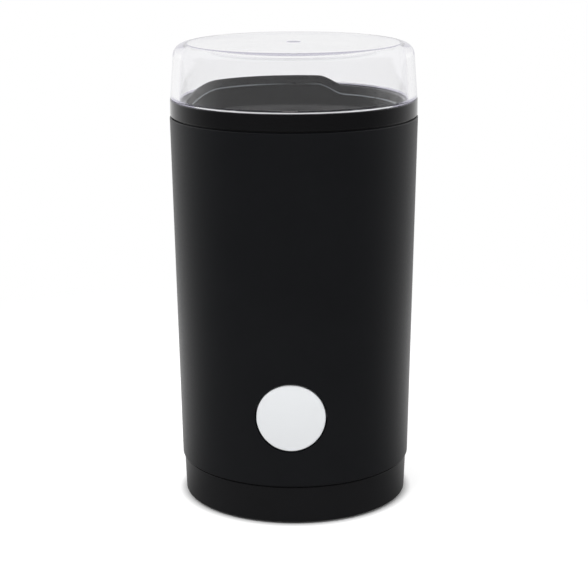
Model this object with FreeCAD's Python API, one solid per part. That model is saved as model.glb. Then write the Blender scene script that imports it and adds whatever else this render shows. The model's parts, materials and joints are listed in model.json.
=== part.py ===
# Electric spice grinder with a clear push-on lid, a tapered black housing and a round push button.
# Millimetres. +Z is up, the button faces -Y, and the origin is the middle of the footprint on the table.
# The shells stack upwards: feet, base cover, housing sleeve, bowl collar, lid. Inside hang a steel bowl
# with its blade, a two-pole brush motor, the button's switch, and a lid interlock with its own switch.

import FreeCAD
import Part
import math
import os

V = FreeCAD.Vector
ORIGIN = V(0, 0, 0)
UP = V(0, 0, 1)
INWARD = V(0, 1, 0)

# Stack of shells, from the table upwards
FOOT_H = 0.4
BASE_H = 14.5
SLEEVE_H = 136.3
COLLAR_H = 6.3
LID_H = 21.3
SEAM_H = 0.6
SEAM_DEPTH = 0.9

BASE_Z0 = FOOT_H
BASE_Z1 = BASE_Z0 + BASE_H
SLEEVE_Z0 = BASE_Z1 + SEAM_H
SLEEVE_Z1 = SLEEVE_Z0 + SLEEVE_H
COLLAR_Z0 = SLEEVE_Z1 + SEAM_H
COLLAR_Z1 = COLLAR_Z0 + COLLAR_H
LID_Z1 = COLLAR_Z1 + LID_H

# Clearances
FIT = 0.2
RUNNING = 0.05
GAP = 0.3
SEAT = 0.05

# Housing sleeve
SLEEVE_TOP_R = 48.1
SLEEVE_TAPER = 2.6
SLEEVE_BOTTOM_R = SLEEVE_TOP_R - SLEEVE_TAPER
SLEEVE_WALL = 2.4
SLEEVE_EDGE = 0.5

# Base cover
BASE_STEP = 0.7
BASE_TAPER = 0.5
BASE_TOP_R = SLEEVE_BOTTOM_R - BASE_STEP
BASE_BOTTOM_R = BASE_TOP_R - BASE_TAPER
BASE_EDGE = 0.8
BASE_WALL = 2.4
BASE_FLOOR = 2.2
BASE_SPIGOT_H = 5.0
BASE_SPIGOT_WALL = 1.8
BASE_ROOM_DROP = 4.0
BASE_RIB_T = 1.2
BASE_RIB_H = 4.0
BASE_RIB_COUNT = 8

# Feet and base screws
FOOT_COUNT = 4
FOOT_R = 5.0
FOOT_INSET = 10.0
FOOT_RING_R = BASE_BOTTOM_R - FOOT_INSET
FOOT_RECESS = 1.0
FOOT_EDGE = 0.6
SCREW_COUNT = 4
SCREW_START_DEG = 45.0
SCREW_INSET = 8.0
SCREW_RING_R = BASE_BOTTOM_R - SCREW_INSET
SCREW_R = 1.45
SCREW_HEAD_R = 2.8
SCREW_HEAD_H = 2.0
SCREW_SLOT_W = 0.8
SCREW_SLOT_H = 0.9
SCREW_L = 14.0
POST_R = 4.0
POST_RISE = 1.5
POST_WALL_OVER_HEAD = 3.0
POST_Z1 = SLEEVE_Z0 + POST_RISE
BOSS_L = 20.0
BOSS_CAP = 2.0

# Vents under the base
VENT_COUNT = 16
VENT_W = 2.2
VENT_R0 = 10.0
VENT_RIM = 3.5
BASE_RIB_R = FOOT_RING_R - FOOT_R - BASE_RIB_T - GAP
VENT_R1 = BASE_RIB_R - VENT_RIM

# Cord opening at the back
GLAND_RISE = 8.0
GLAND_Z = BASE_Z0 + GLAND_RISE
GLAND_BORE_R = 3.3
GLAND_WALL = 1.0
GLAND_NECK_R = GLAND_BORE_R + GLAND_WALL
GLAND_FLANGE_R = 5.4
GLAND_FLANGE_T = 1.2
GLAND_CLIP_R = 5.0
GLAND_CLIP_GAP = 0.4

# Bowl collar, its splash guard and its spigot in the sleeve
COLLAR_STEP = 0.2
COLLAR_R = SLEEVE_TOP_R - COLLAR_STEP
COLLAR_WALL = 2.4
COLLAR_EDGE = 0.4
COLLAR_WEB = 2.6
GROOVE_W = 2.9
SPIGOT_H = 10.8
SPIGOT_WALL = 1.6
HOOK_COUNT = 4
HOOK_W = 8.0
HOOK_H = 2.6
HOOK_OUT = 0.8
HOOK_RISE = 2.0
BEAD_OUT = 0.5
BEAD_H = 1.0
GUARD_WALL = 1.2
GUARD_LIP = 0.35
FLARE_H = 3.6
FLARE_OUT = 1.0
FUNNEL_STEP = 2.6
FUNNEL_H = 2.7
FUNNEL_LIP = 0.6

# Height of the splash guard against the collar's top, and the azimuths between which each height holds
GUARD_BACK = 3.3
GUARD_SIDE = -0.3
GUARD_FRONT = -1.7
GUARD_TAB = 0.7
BACK_FROM_DEG = 78.0
BACK_TO_DEG = 138.0
SIDE_TO_DEG = 62.0
SIDE_FROM_DEG = -5.0
FRONT_FROM_DEG = 184.0
FRONT_TO_DEG = 345.0
TAB_HALF_DEG = 10.5
TAB_RAMP_DEG = 2.0
GUARD_STEP_DEG = 2.0
DRAIN_SLOT_W = 0.9
DRAIN_SLOT_DEG = 38.0
DRAIN_LEAN_DEG = 22.0

# Steel bowl and its gasket
BOWL_LEDGE = 1.4
BOWL_RIM = 3.8
BOWL_DEPTH = 41.4
SHEET = 0.6
BOWL_CORNER = 9.0
BOWL_LIP = 1.0
BOWL_HOLE_R = 7.2
GASKET_T = 0.8
GASKET_W = 2.0

# Motor carrier, the cup that holds the bowl and hangs the motor
CARRIER_WALL = 2.0
CARRIER_FLOOR = 3.0
CARRIER_FLANGE_H = 4.0
CARRIER_GAP = 0.6
CARRIER_DROP = 2.0
CARRIER_BOSS_R = 4.6
CARRIER_WEB_T = 1.8
CARRIER_WEB_RISE = 6.0
BOWL_REST_R = 25.0
BOWL_REST_W = 2.0

# Motor
MOTOR_DROP = 15.9
MOTOR_OVER_BUTTON = 15.0
STATOR_STAND = 6.0
STATOR_LONGER = 14.0
STATOR_CORNER = 8.0
FRAME_T = 5.0
WINDOW_CORNER = 1.5
POLE_NECK_W = 14.0
AIR_GAP = 0.6
POLE_SHOE_T = 3.0
POLE_SHOE_DEG = 58.0
EAR_R = 5.0
BOLT_STAND = 0.2
BOLT_R = 2.0
BOLT_HEAD_R = 3.6
BOLT_HEAD_H = 2.6
BOLT_SLOT_W = 1.0
BOLT_SLOT_H = 1.2
COIL_T = 5.0
COIL_STAND = 1.5
COIL_OVERHANG = 9.0
COIL_CORNER = 5.0
BRACKET_SHEET = 2.0
STRAP_W = 18.0
STRAP_RISE = 11.0
SWITCH_CLEAR = 0.5
LOWER_DROP = 22.0
LOWER_SHEET = 3.0
ARM_SETBACK = 2.0
ARM_W = 11.0
ARM_FIN_T = 2.4
CUP_R = 7.5
CUP_FLOOR = 1.0
LOWER_CUP_FLOOR = 2.0
BUSH_R = 5.6
BUSH_H = 6.0
BUSH_EDGE = 1.0

# Rotor
SHAFT_R = 3.0
SHAFT_EDGE = 0.4
SHAFT_TAIL = 0.7
THREAD_R = 2.5
ARMATURE_CLEAR = 1.0
SLOT_COUNT = 8
SLOT_W_SHARE = 0.2745
SLOT_DEPTH_SHARE = 0.392
SLOT_MOUTH = 1.6
SLOT_LIP = 1.0
WINDING_STEP = 2.5
WINDING_TOP_H = 6.5
WINDING_ROUND = 3.0
WINDING_SHOULDER = 3.5
WINDING_CORE_R = 4.5
COMMUTATOR_SHARE = 0.621
COMMUTATOR_H = 10.5
COMMUTATOR_RISE = 1.5
COMMUTATOR_BARS = 12
RISER_OUT = 1.0
RISER_H = 1.5
BAR_SLOT_W = 0.5
BAR_SLOT_DEPTH = 0.8

# Carbon brushes
BRUSH_W = 5.0
BRUSH_H = 6.0
BRUSH_SPRING_L = 7.0
BRUSH_SPRING_R = 1.8
BRUSH_WIRE_R = 0.3
BRUSH_TURNS = 5
HOLDER_WALL = 1.5
HOLDER_GAP = 1.0
HOLDER_END = 1.2

# Blade, hub and nut
SEAL_R = 8.0
SEAL_LIP = 1.2
SEAL_TOP_W = 2.0
SEAL_TOP_T = 1.0
SEAL_TAIL = 0.6
HUB_H = 5.5
HUB_R = 7.5
HUB_FOOT = 1.4
HUB_TOP_R = 6.0
BLADE_T = 1.2
BLADE_CLEAR = 6.4
BLADE_ROOT_W = 12.0
BLADE_TIP_W = 8.0
BLADE_TWIST_DEG = 18.0
BLADE_BEND = 2.4
BLADE_GRIND = 2.2
WASHER_R = 5.0
WASHER_T = 0.8
NUT_R = 4.6
NUT_H = 5.0
NUT_FLATS_H = 2.6
NUT_CAP = 1.5

# Push button
BUTTON_SHARE = 0.20176
BUTTON_R = 13.15
BUTTON_GAP = 0.5
BUTTON_PROUD = 0.7
BUTTON_BULGE_R = 90.0
BUTTON_EDGE = 0.7
BUTTON_WALL = 1.8
BUTTON_FLANGE_OUT = 1.7
BUTTON_FLANGE_T = 1.6
BUTTON_TRAVEL = 3.0
GUIDE_WALL = 1.8
GUIDE_DEPTH = 9.0
KEY_W = 1.6
KEY_L = 5.0
KEY_OUT = 0.9
STEM_R = 3.0
BUTTON_SPRING_R = 5.6
BUTTON_WIRE_R = 0.45
BUTTON_TURNS = 6

# Switch bracket, switches and interlock
PLATE_SETBACK = 5.5
PLATE_T = 2.0
PLATE_HALF_W = 23.0
PLATE_HALF_H = 8.0
PLATE_CORNER = 3.0
BRACKET_SCREW_X = 19.0
BRACKET_BOSS_R = 3.2
BRACKET_PILOT_R = 1.2
BRACKET_SCREW_L = 5.5
BRACKET_HEAD_R = 2.3
BRACKET_HEAD_H = 1.6
BRACKET_SLOT = 0.7
SWITCH_L = 20.0
SWITCH_D = 9.2
SWITCH_T = 6.2
PLUNGER_R = 1.2
PLUNGER_TRAVEL = 1.2
PLUNGER_SHOW = 0.9
PLUNGER_TAIL = 2.0
PLUNGER_BORE = 3.7
PLUNGER_ROUND = 0.4
PEG_R = 1.1
PEG_L = 4.0
PEG_SPREAD = 4.8
PEG_INSET = 3.0
TERMINAL_L = 4.0
TERMINAL_W = 3.0
TERMINAL_T = 0.6
TERMINAL_INSET = 1.0
LEDGE_RISE = 16.8
LEDGE_T = 1.6
CHEEK_T = 1.8
CHEEK_H = 8.0
ROD_W = 6.0
ROD_T = 1.2
ROD_INSET = 0.4
ROD_STAND = 1.2
ROD_NOSE = 0.6
ROD_JOG_DROP = 3.0
ROD_JOG_H = 4.0
ROD_TOE = 1.5
ROD_FOOT_T = 3.0
ROD_GUIDE_H = 6.0
ROD_GUIDE_W = 1.6
ROD_GUIDE_LIP = 0.8
ROD_GUIDE_DROPS = (15.0, 30.0)
ROD_PEG_L = 2.0
LID_SPRING_R = 1.8
LID_WIRE_R = 0.25
LID_SPRING_TURNS = 7
LID_SPRING_INSET = 2.4

# Clear lid
LID_STEP = 0.2
LID_TAPER = 1.2
LID_SHOULDER = 4.6
LID_BEVEL = 0.35
LID_TOP_T = 2.4
LID_FIT = 0.3
LID_SKIRT_H = 3.8
LID_SKIRT_T = 1.2
LID_WALL = 3.2
LID_JOG = 0.8
LID_INNER_CORNER = 2.6
GATE_R = 2.2
GATE_DEPTH = 0.35


def sleeve_r(z):
    """Outer radius of the tapered sleeve at a height."""
    share = (z - SLEEVE_Z0) / SLEEVE_H
    return SLEEVE_BOTTOM_R + share * SLEEVE_TAPER


def sleeve_inner_r(z):
    """Inner radius of the sleeve at a height."""
    return sleeve_r(z) - SLEEVE_WALL


# Collar, bowl and carrier, from the collar's wall inwards and from its web down
WEB_Z1 = SLEEVE_Z1 + COLLAR_WEB
SPIGOT_Z0 = SLEEVE_Z1 - SPIGOT_H
SPIGOT_R = sleeve_inner_r(SPIGOT_Z0) - FIT
SPIGOT_INNER_R = SPIGOT_R - SPIGOT_WALL
GROOVE_R1 = COLLAR_R - COLLAR_WALL
GUARD_OUTER_R = GROOVE_R1 - GROOVE_W
GUARD_R = GUARD_OUTER_R - GUARD_WALL
GUARD_MID_R = GUARD_R + GUARD_WALL / 2
GUARD_FOOT_Z = COLLAR_Z0
FUNNEL_R = GUARD_R - FUNNEL_STEP
BOWL_R = FUNNEL_R - BOWL_LEDGE
BOWL_RIM_R = BOWL_R + BOWL_RIM
CARRIER_FLANGE_Z0 = SPIGOT_Z0 + BEAD_H + GAP
BOWL_RIM_Z0 = CARRIER_FLANGE_Z0 + CARRIER_FLANGE_H
BOWL_RIM_Z1 = BOWL_RIM_Z0 + SHEET
COLLAR_FOOT_Z = BOWL_RIM_Z1 + GASKET_T
BOWL_FLOOR_Z1 = BOWL_RIM_Z1 - BOWL_DEPTH
BOWL_FLOOR_Z0 = BOWL_FLOOR_Z1 - SHEET
CARRIER_R0 = BOWL_R + SHEET + CARRIER_GAP
CARRIER_R1 = CARRIER_R0 + CARRIER_WALL
CARRIER_FLANGE_R = SPIGOT_INNER_R - FIT
CARRIER_FLOOR_Z1 = BOWL_FLOOR_Z0 - CARRIER_DROP
CARRIER_FLOOR_Z0 = CARRIER_FLOOR_Z1 - CARRIER_FLOOR

# Motor, hung under the carrier, its stack as long as the room above the button's switch allows
BUTTON_Z = SLEEVE_Z0 + BUTTON_SHARE * SLEEVE_H
STATOR_Z1 = CARRIER_FLOOR_Z0 - MOTOR_DROP
STATOR_Z0 = BUTTON_Z + MOTOR_OVER_BUTTON
STRAP_Z1 = STATOR_Z1 + STRAP_RISE
LOWER_Z1 = STATOR_Z0 - LOWER_DROP
LOWER_Z0 = LOWER_Z1 - LOWER_SHEET
UPPER_BUSH_Z0 = STRAP_Z1 - BUSH_H / 2
LOWER_BUSH_Z0 = LOWER_Z1 - BUSH_H - BUSH_EDGE
SHAFT_Z0 = LOWER_BUSH_Z0 - SHAFT_TAIL
COMMUTATOR_Z0 = LOWER_Z1 + COMMUTATOR_RISE
BRUSH_Z = COMMUTATOR_Z0 + HOLDER_WALL + BRUSH_H / 2
BOLT_HOLE_R = BOLT_R + FIT

# Shaft end in the bowl
SEAL_BORE_R = SHAFT_R + GAP
SEAL_Z1 = BOWL_FLOOR_Z1 + SEAL_TOP_T
HUB_Z0 = SEAL_Z1 + GAP
BLADE_Z0 = HUB_Z0 + HUB_H
BLADE_R = BOWL_R - BLADE_CLEAR
NUT_Z0 = BLADE_Z0 + BLADE_T + WASHER_T

# Button, from the front inwards
GUIDE_END_Y = GUIDE_DEPTH - SLEEVE_BOTTOM_R
APERTURE_R = BUTTON_R + BUTTON_GAP
GUIDE_R = APERTURE_R + GUIDE_WALL
FLANGE_R = BUTTON_R + BUTTON_FLANGE_OUT
FLANGE_Y0 = GUIDE_END_Y + GAP
FLANGE_Y1 = FLANGE_Y0 + BUTTON_FLANGE_T
PLATE_Y = GUIDE_END_Y + PLATE_SETBACK
PLATE_Y1 = PLATE_Y + PLATE_T
BUTTON_PLUNGER_TIP_Y = PLATE_Y - PLUNGER_TRAVEL - GAP
STEM_END_Y = BUTTON_PLUNGER_TIP_Y + PLUNGER_TRAVEL - BUTTON_TRAVEL - SEAT
FRONT_Y = -2 * SLEEVE_TOP_R
BACK_Y = 2 * SLEEVE_TOP_R

# Motor's plan, from the switch bracket inwards
STATOR_Y = 2 * (-PLATE_Y1 - STATOR_STAND)
STATOR_X = STATOR_Y + STATOR_LONGER
BOLT_Y = STATOR_Y / 2 + BOLT_STAND
COIL_HALF_W = STATOR_Y / 2 - FRAME_T - COIL_STAND
STRAP_LEG_Y = -PLATE_Y1 - SWITCH_D - SWITCH_CLEAR - LOWER_SHEET
LOWER_STRAP_W = SWITCH_L - 2 * (TERMINAL_W + TERMINAL_INSET + SWITCH_CLEAR)
ARM_HALF_L = STATOR_X / 2 - ARM_SETBACK
ARMATURE_R = STRAP_LEG_Y - ARMATURE_CLEAR
POLE_SHOE_R = ARMATURE_R + AIR_GAP
SLOT_W = SLOT_W_SHARE * ARMATURE_R
SLOT_DEPTH = SLOT_DEPTH_SHARE * ARMATURE_R
WINDING_R = ARMATURE_R - WINDING_STEP
COMMUTATOR_R = COMMUTATOR_SHARE * ARMATURE_R
RISER_R = COMMUTATOR_R + RISER_OUT
BRUSH_X0 = COMMUTATOR_R + GAP
BRUSH_SPRING_X = ARM_HALF_L - HOLDER_END - BRUSH_SPRING_L

# Interlock, from the lid down to its switch
LEDGE_Z = BUTTON_Z + LEDGE_RISE
LEDGE_Z1 = LEDGE_Z + LEDGE_T
LID_SWITCH_Z1 = LEDGE_Z1 + SWITCH_D
LID_PLUNGER_TIP_Z = LID_SWITCH_Z1 + PLUNGER_SHOW
ROD_FOOT_Z0 = LID_PLUNGER_TIP_Z + SEAT
LID_R = COLLAR_R - LID_STEP
LID_SHOULDER_R = LID_R - LID_TAPER
LID_Z0 = COLLAR_Z1 + SEAT
LID_SKIRT_Z0 = LID_Z0 - LID_SKIRT_H
ROD_Z1 = LID_SKIRT_Z0 - SEAT
ROD_TOP_Y = ROD_INSET - GROOVE_R1
ROD_LOW_Y = -(CARRIER_R1 + ROD_STAND + ROD_T)
ROD_JOG_Z = SPIGOT_Z0 - ROD_JOG_DROP
SPRING_SEAT_Y = ROD_LOW_Y + LID_SPRING_INSET


def outline(start, *steps):
    """Closed face in the XZ plane. A step is a point (r, z), or two points for an arc through the first."""
    edges = []
    here = V(start[0], 0, start[1])
    for step in list(steps) + [start]:
        if isinstance(step[0], tuple):
            through = V(step[0][0], 0, step[0][1])
            there = V(step[1][0], 0, step[1][1])
            edges.append(Part.Arc(here, through, there).toShape())
        else:
            there = V(step[0], 0, step[1])
            if (there - here).Length < 1e-6:
                continue
            edges.append(Part.makeLine(here, there))
        here = there
    return Part.Face(Part.Wire(edges))


def rounded(centre, radius, start_deg, end_deg):
    """An arc step for outline(): the points at the middle and at the end of an arc about a centre."""
    def at(angle):
        a = math.radians(angle)
        return (centre[0] + radius * math.cos(a), centre[1] + radius * math.sin(a))
    return (at((start_deg + end_deg) / 2), at(end_deg))


def turned(face, start_deg=0.0, sweep_deg=360.0):
    """Solid of revolution about Z."""
    solid = face.revolve(ORIGIN, UP, sweep_deg)
    if start_deg:
        solid.rotate(ORIGIN, UP, start_deg)
    return solid


def disc(radius, z0, z1, x=0.0, y=0.0):
    """Upright cylinder between two heights."""
    return Part.makeCylinder(radius, z1 - z0, V(x, y, z0), UP)


def tube(inner, outer, z0, z1, x=0.0, y=0.0):
    """Upright tube between two heights."""
    return disc(outer, z0, z1, x, y).cut(disc(inner, z0, z1, x, y))


def pin_y(radius, y0, y1, x=0.0, z=0.0):
    """Cylinder along Y."""
    return Part.makeCylinder(radius, y1 - y0, V(x, y0, z), INWARD)


def block(x0, x1, y0, y1, z0, z1):
    """Box between two corners."""
    return Part.makeBox(x1 - x0, y1 - y0, z1 - z0, V(x0, y0, z0))


def around(shape, count, start_deg=0.0):
    """Copies of a shape, evenly turned about Z."""
    copies = []
    for i in range(count):
        copy = shape.copy()
        copy.rotate(ORIGIN, UP, start_deg + i * 360.0 / count)
        copies.append(copy)
    return copies


def join(shapes):
    """One solid from shapes that meet."""
    shapes = list(shapes)
    return shapes[0].multiFuse(shapes[1:]).removeSplitter()


def mirrored_x(shape):
    """The shape's mirror image on the other side of the YZ plane."""
    return shape.mirror(ORIGIN, V(1, 0, 0))


def mirrored_y(shape):
    """The shape's mirror image on the other side of the XZ plane."""
    return shape.mirror(ORIGIN, V(0, 1, 0))


def rounded_plate(half_x, half_y, corner, z0, z1):
    """Upright block with four rounded corners, centred on the axis."""
    plate = block(-half_x, half_x, -half_y, half_y, z0, z1)
    upright = [e for e in plate.Edges if abs(e.Vertexes[0].Z - e.Vertexes[-1].Z) > 1e-6]
    return plate.makeFillet(corner, upright)


def coil_spring(mean_r, wire_r, length, turns):
    """Helical spring along +Z from the origin, with its wire inside the length."""
    rise = length - 2 * wire_r
    helix = Part.makeHelix(rise / turns, rise, mean_r)
    helix.translate(V(0, 0, wire_r))
    section = Part.Wire([Part.makeCircle(wire_r, V(mean_r, 0, wire_r), V(0, 1, 0))])
    return Part.Wire(helix).makePipeShell([section], True, True)


def main_housing():
    """Tapered sleeve with the button's guide, the base screw bosses and pockets for the collar's hooks."""
    r0, r1, e = SLEEVE_BOTTOM_R, SLEEVE_TOP_R, SLEEVE_EDGE
    lower_round = rounded((r0 - e, SLEEVE_Z0 + e), e, -90, 0)
    upper_round = rounded((r1 - e, SLEEVE_Z1 - e), e, 0, 90)
    barrel = turned(outline((0, SLEEVE_Z0), (r0 - e, SLEEVE_Z0), lower_round,
                            (r1, SLEEVE_Z1 - e), upper_round, (0, SLEEVE_Z1)))
    hollow = turned(outline((0, SLEEVE_Z0), (r0 - SLEEVE_WALL, SLEEVE_Z0),
                            (r1 - SLEEVE_WALL, SLEEVE_Z1), (0, SLEEVE_Z1)))
    shell = barrel.cut(hollow)
    guide = pin_y(GUIDE_R, FRONT_Y, GUIDE_END_Y, 0, BUTTON_Z)
    parts = [guide]
    boss_z0 = SLEEVE_Z0 + BASE_SPIGOT_H + GAP
    rib = block(SCREW_RING_R, SLEEVE_TOP_R, -BASE_RIB_T, BASE_RIB_T, boss_z0, SLEEVE_Z0 + BOSS_L)
    boss = join([disc(POST_R, POST_Z1, SLEEVE_Z0 + BOSS_L, SCREW_RING_R, 0), rib])
    parts += around(boss, SCREW_COUNT, SCREW_START_DEG)
    for side in (-1, 1):
        parts.append(pin_y(BRACKET_BOSS_R, FRONT_Y, PLATE_Y, side * BRACKET_SCREW_X, BUTTON_Z))
    inside = [p.common(barrel) for p in parts]
    sleeve = join([shell] + inside)
    cuts = [pin_y(APERTURE_R, FRONT_Y, GUIDE_END_Y, 0, BUTTON_Z)]
    key_half = KEY_W / 2 + FIT
    cuts.append(block(-key_half, key_half, -sleeve_inner_r(BUTTON_Z), GUIDE_END_Y,
                      BUTTON_Z, BUTTON_Z + APERTURE_R + KEY_OUT))
    for side in (-1, 1):
        cuts.append(pin_y(BRACKET_PILOT_R + RUNNING, PLATE_Y - BRACKET_SCREW_L - BUTTON_GAP, PLATE_Y,
                          side * BRACKET_SCREW_X, BUTTON_Z))
    pilot = disc(SCREW_R + RUNNING, SLEEVE_Z0, SLEEVE_Z0 + BOSS_L - BOSS_CAP, SCREW_RING_R, 0)
    cuts += around(pilot, SCREW_COUNT, SCREW_START_DEG)
    cuts += around(hook_block(HOOK_W / 2 + FIT, HOOK_OUT + FIT, FIT), HOOK_COUNT, SCREW_START_DEG)
    return sleeve.cut(Part.makeCompound(cuts))


def hook_block(half_w, out, spare):
    """Snap hook on the collar's spigot, or with spare room its pocket in the sleeve, at azimuth 0."""
    z0 = SPIGOT_Z0 + HOOK_RISE - spare
    z1 = SPIGOT_Z0 + HOOK_RISE + HOOK_H + spare
    return block(SPIGOT_R - SPIGOT_WALL / 2, SPIGOT_R + FIT + out, -half_w, half_w, z0, z1)


def base_cover():
    """Bottom cap: floor with vents, screw posts, ribs and a spigot that locates it in the sleeve."""
    spigot_r = sleeve_inner_r(SLEEVE_Z0) - FIT
    spigot_z1 = SLEEVE_Z0 + BASE_SPIGOT_H
    e = BASE_EDGE
    bottom_round = rounded((BASE_BOTTOM_R - e, BASE_Z0 + e), e, -90, 0)
    land_r = BASE_TOP_R - SEAM_DEPTH / 2
    solid_cup = turned(outline((0, BASE_Z0), (BASE_BOTTOM_R - e, BASE_Z0), bottom_round,
                               (BASE_TOP_R, BASE_Z1), (land_r, BASE_Z1), (land_r, SLEEVE_Z0),
                               (spigot_r, SLEEVE_Z0), (spigot_r, spigot_z1), (0, spigot_z1)))
    inner_r = spigot_r - BASE_SPIGOT_WALL
    floor_z1 = BASE_Z0 + BASE_FLOOR
    room = disc(inner_r, floor_z1, spigot_z1)
    lower_room = disc(BASE_BOTTOM_R - BASE_WALL, floor_z1, BASE_Z1 - BASE_ROOM_DROP)
    cup = solid_cup.cut(room).cut(lower_room)
    ribs = [tube(BASE_RIB_R - BASE_RIB_T, BASE_RIB_R, floor_z1, floor_z1 + BASE_RIB_H)]
    rib = block(BASE_RIB_R - BASE_RIB_T / 2, inner_r, -BASE_RIB_T / 2, BASE_RIB_T / 2,
                floor_z1, floor_z1 + BASE_RIB_H)
    ribs += around(rib, BASE_RIB_COUNT, 180.0 / BASE_RIB_COUNT)
    posts = around(disc(POST_R, floor_z1, POST_Z1, SCREW_RING_R, 0), SCREW_COUNT, SCREW_START_DEG)
    cover = join([cup] + ribs + posts)
    vent = block(VENT_R0 + VENT_W / 2, VENT_R1 - VENT_W / 2, -VENT_W / 2, VENT_W / 2, BASE_Z0, floor_z1)
    ends = [disc(VENT_W / 2, BASE_Z0, floor_z1, r, 0) for r in (VENT_R0 + VENT_W / 2, VENT_R1 - VENT_W / 2)]
    cuts = around(join([vent] + ends), VENT_COUNT)
    cuts += around(disc(FOOT_R + FIT, BASE_Z0, BASE_Z0 + FOOT_RECESS, FOOT_RING_R, 0), FOOT_COUNT)
    head_room = disc(SCREW_HEAD_R + FIT, BASE_Z0, POST_Z1 - POST_WALL_OVER_HEAD, SCREW_RING_R, 0)
    shank_room = disc(SCREW_R + FIT, BASE_Z0, POST_Z1, SCREW_RING_R, 0)
    cuts += around(join([head_room, shank_room]), SCREW_COUNT, SCREW_START_DEG)
    wall_y0 = BASE_BOTTOM_R - BASE_WALL
    clip_room_y0 = wall_y0 - 2 * GLAND_FLANGE_T
    cuts.append(pin_y(GLAND_NECK_R + RUNNING, clip_room_y0, BACK_Y, 0, GLAND_Z))
    cuts.append(pin_y(GLAND_CLIP_R + FIT, clip_room_y0, wall_y0, 0, GLAND_Z))
    return cover.cut(Part.makeCompound(cuts))


def rubber_feet():
    """Round feet glued in the floor's recesses."""
    z1 = BASE_Z0 + FOOT_RECESS
    foot = turned(outline((0, 0), (FOOT_R - FOOT_EDGE, 0), (FOOT_R, FOOT_EDGE), (FOOT_R, z1), (0, z1)))
    foot.translate(V(FOOT_RING_R, 0, 0))
    return Part.makeCompound(around(foot, FOOT_COUNT))


def base_screws():
    """Screws that pull the base cover up against the sleeve's bosses."""
    z1 = POST_Z1 - POST_WALL_OVER_HEAD
    head = disc(SCREW_HEAD_R, z1 - SCREW_HEAD_H, z1, SCREW_RING_R, 0)
    shank = disc(SCREW_R, z1, z1 + SCREW_L, SCREW_RING_R, 0)
    half = SCREW_SLOT_W / 2
    slot = block(SCREW_RING_R - SCREW_HEAD_R, SCREW_RING_R + SCREW_HEAD_R, -half, half,
                 z1 - SCREW_HEAD_H, z1 - SCREW_HEAD_H + SCREW_SLOT_H)
    cross = slot.copy()
    cross.rotate(V(SCREW_RING_R, 0, 0), UP, 90)
    screw = join([head, shank]).cut(join([slot, cross]))
    return Part.makeCompound(around(screw, SCREW_COUNT, SCREW_START_DEG))


def cord_gland():
    """Grommet in the base cover's back wall, with the bore that the mains cord passes through."""
    wall_y1 = BASE_TOP_R + SEAT
    inner_y = BASE_BOTTOM_R - BASE_WALL
    neck = pin_y(GLAND_NECK_R, inner_y - 2 * GLAND_CLIP_GAP, wall_y1 + FIT, 0, GLAND_Z)
    outer = pin_y(GLAND_FLANGE_R, wall_y1, wall_y1 + GLAND_FLANGE_T, 0, GLAND_Z)
    rim = [e for e in outer.Edges if abs(e.CenterOfMass.y - wall_y1 - GLAND_FLANGE_T) < 1e-6]
    outer = outer.makeFillet(GLAND_FLANGE_T / 2, rim)
    clip_y1 = inner_y - GLAND_CLIP_GAP
    clip = pin_y(GLAND_CLIP_R, clip_y1 - GLAND_FLANGE_T, clip_y1, 0, GLAND_Z)
    bore = pin_y(GLAND_BORE_R, 0, BACK_Y, 0, GLAND_Z)
    return join([neck, outer, clip]).cut(bore)


def guard_section(azimuth, top):
    """Outline of the splash guard's wall in the upright plane at an azimuth, up to a given top."""
    bend = max(top - FLARE_H, GUARD_FOOT_Z + SEAT)
    shift = FLARE_OUT * (bend - (top - FLARE_H)) / FLARE_H
    r0, r1, out = GUARD_R, GUARD_OUTER_R, FLARE_OUT
    points = [(r0 + shift, GUARD_FOOT_Z), (r1 + shift, GUARD_FOOT_Z), (r1 + shift, bend),
              (r1 + out, top - GUARD_LIP), (r1 + out - GUARD_LIP, top), (r0 + out + GUARD_LIP, top),
              (r0 + out, top - GUARD_LIP), (r0 + shift, bend)]
    a = math.radians(azimuth)
    corners = [V(r * math.cos(a), r * math.sin(a), z) for r, z in points]
    return Part.makePolygon(corners + [corners[0]])


def guard_arc(start, end, top):
    """Stretch of the guard at one height."""
    return Part.Face(guard_section(start, top)).revolve(ORIGIN, UP, end - start)


def guard_ramp(start, end, top_a, top_b):
    """Stretch of the guard that runs smoothly from one height to another."""
    count = max(3, round(abs(end - start) / GUARD_STEP_DEG))
    sections = []
    for i in range(count + 1):
        t = i / count
        ease = t * t * (3 - 2 * t)
        sections.append(guard_section(start + t * (end - start), top_a + ease * (top_b - top_a)))
    return Part.makeLoft(sections, True, True)


def splash_guard():
    """Wall round the bowl's mouth: high at the back, low at the right and in front, with a tab in front."""
    back = COLLAR_Z1 + GUARD_BACK
    side = COLLAR_Z1 + GUARD_SIDE
    front = COLLAR_Z1 + GUARD_FRONT
    tab = COLLAR_Z1 + GUARD_TAB
    tab_from = 270.0 - TAB_HALF_DEG
    tab_to = 270.0 + TAB_HALF_DEG
    return [guard_arc(SIDE_FROM_DEG, SIDE_TO_DEG, side),
            guard_ramp(SIDE_TO_DEG, BACK_FROM_DEG, side, back),
            guard_arc(BACK_FROM_DEG, BACK_TO_DEG, back),
            guard_ramp(BACK_TO_DEG, FRONT_FROM_DEG, back, front),
            guard_arc(FRONT_FROM_DEG, tab_from - TAB_RAMP_DEG, front),
            guard_ramp(tab_from - TAB_RAMP_DEG, tab_from, front, tab),
            guard_arc(tab_from, tab_to, tab),
            guard_ramp(tab_to, tab_to + TAB_RAMP_DEG, tab, front),
            guard_arc(tab_to + TAB_RAMP_DEG, FRONT_TO_DEG, front),
            guard_ramp(FRONT_TO_DEG, SIDE_FROM_DEG + 360.0, front, side)]


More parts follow.
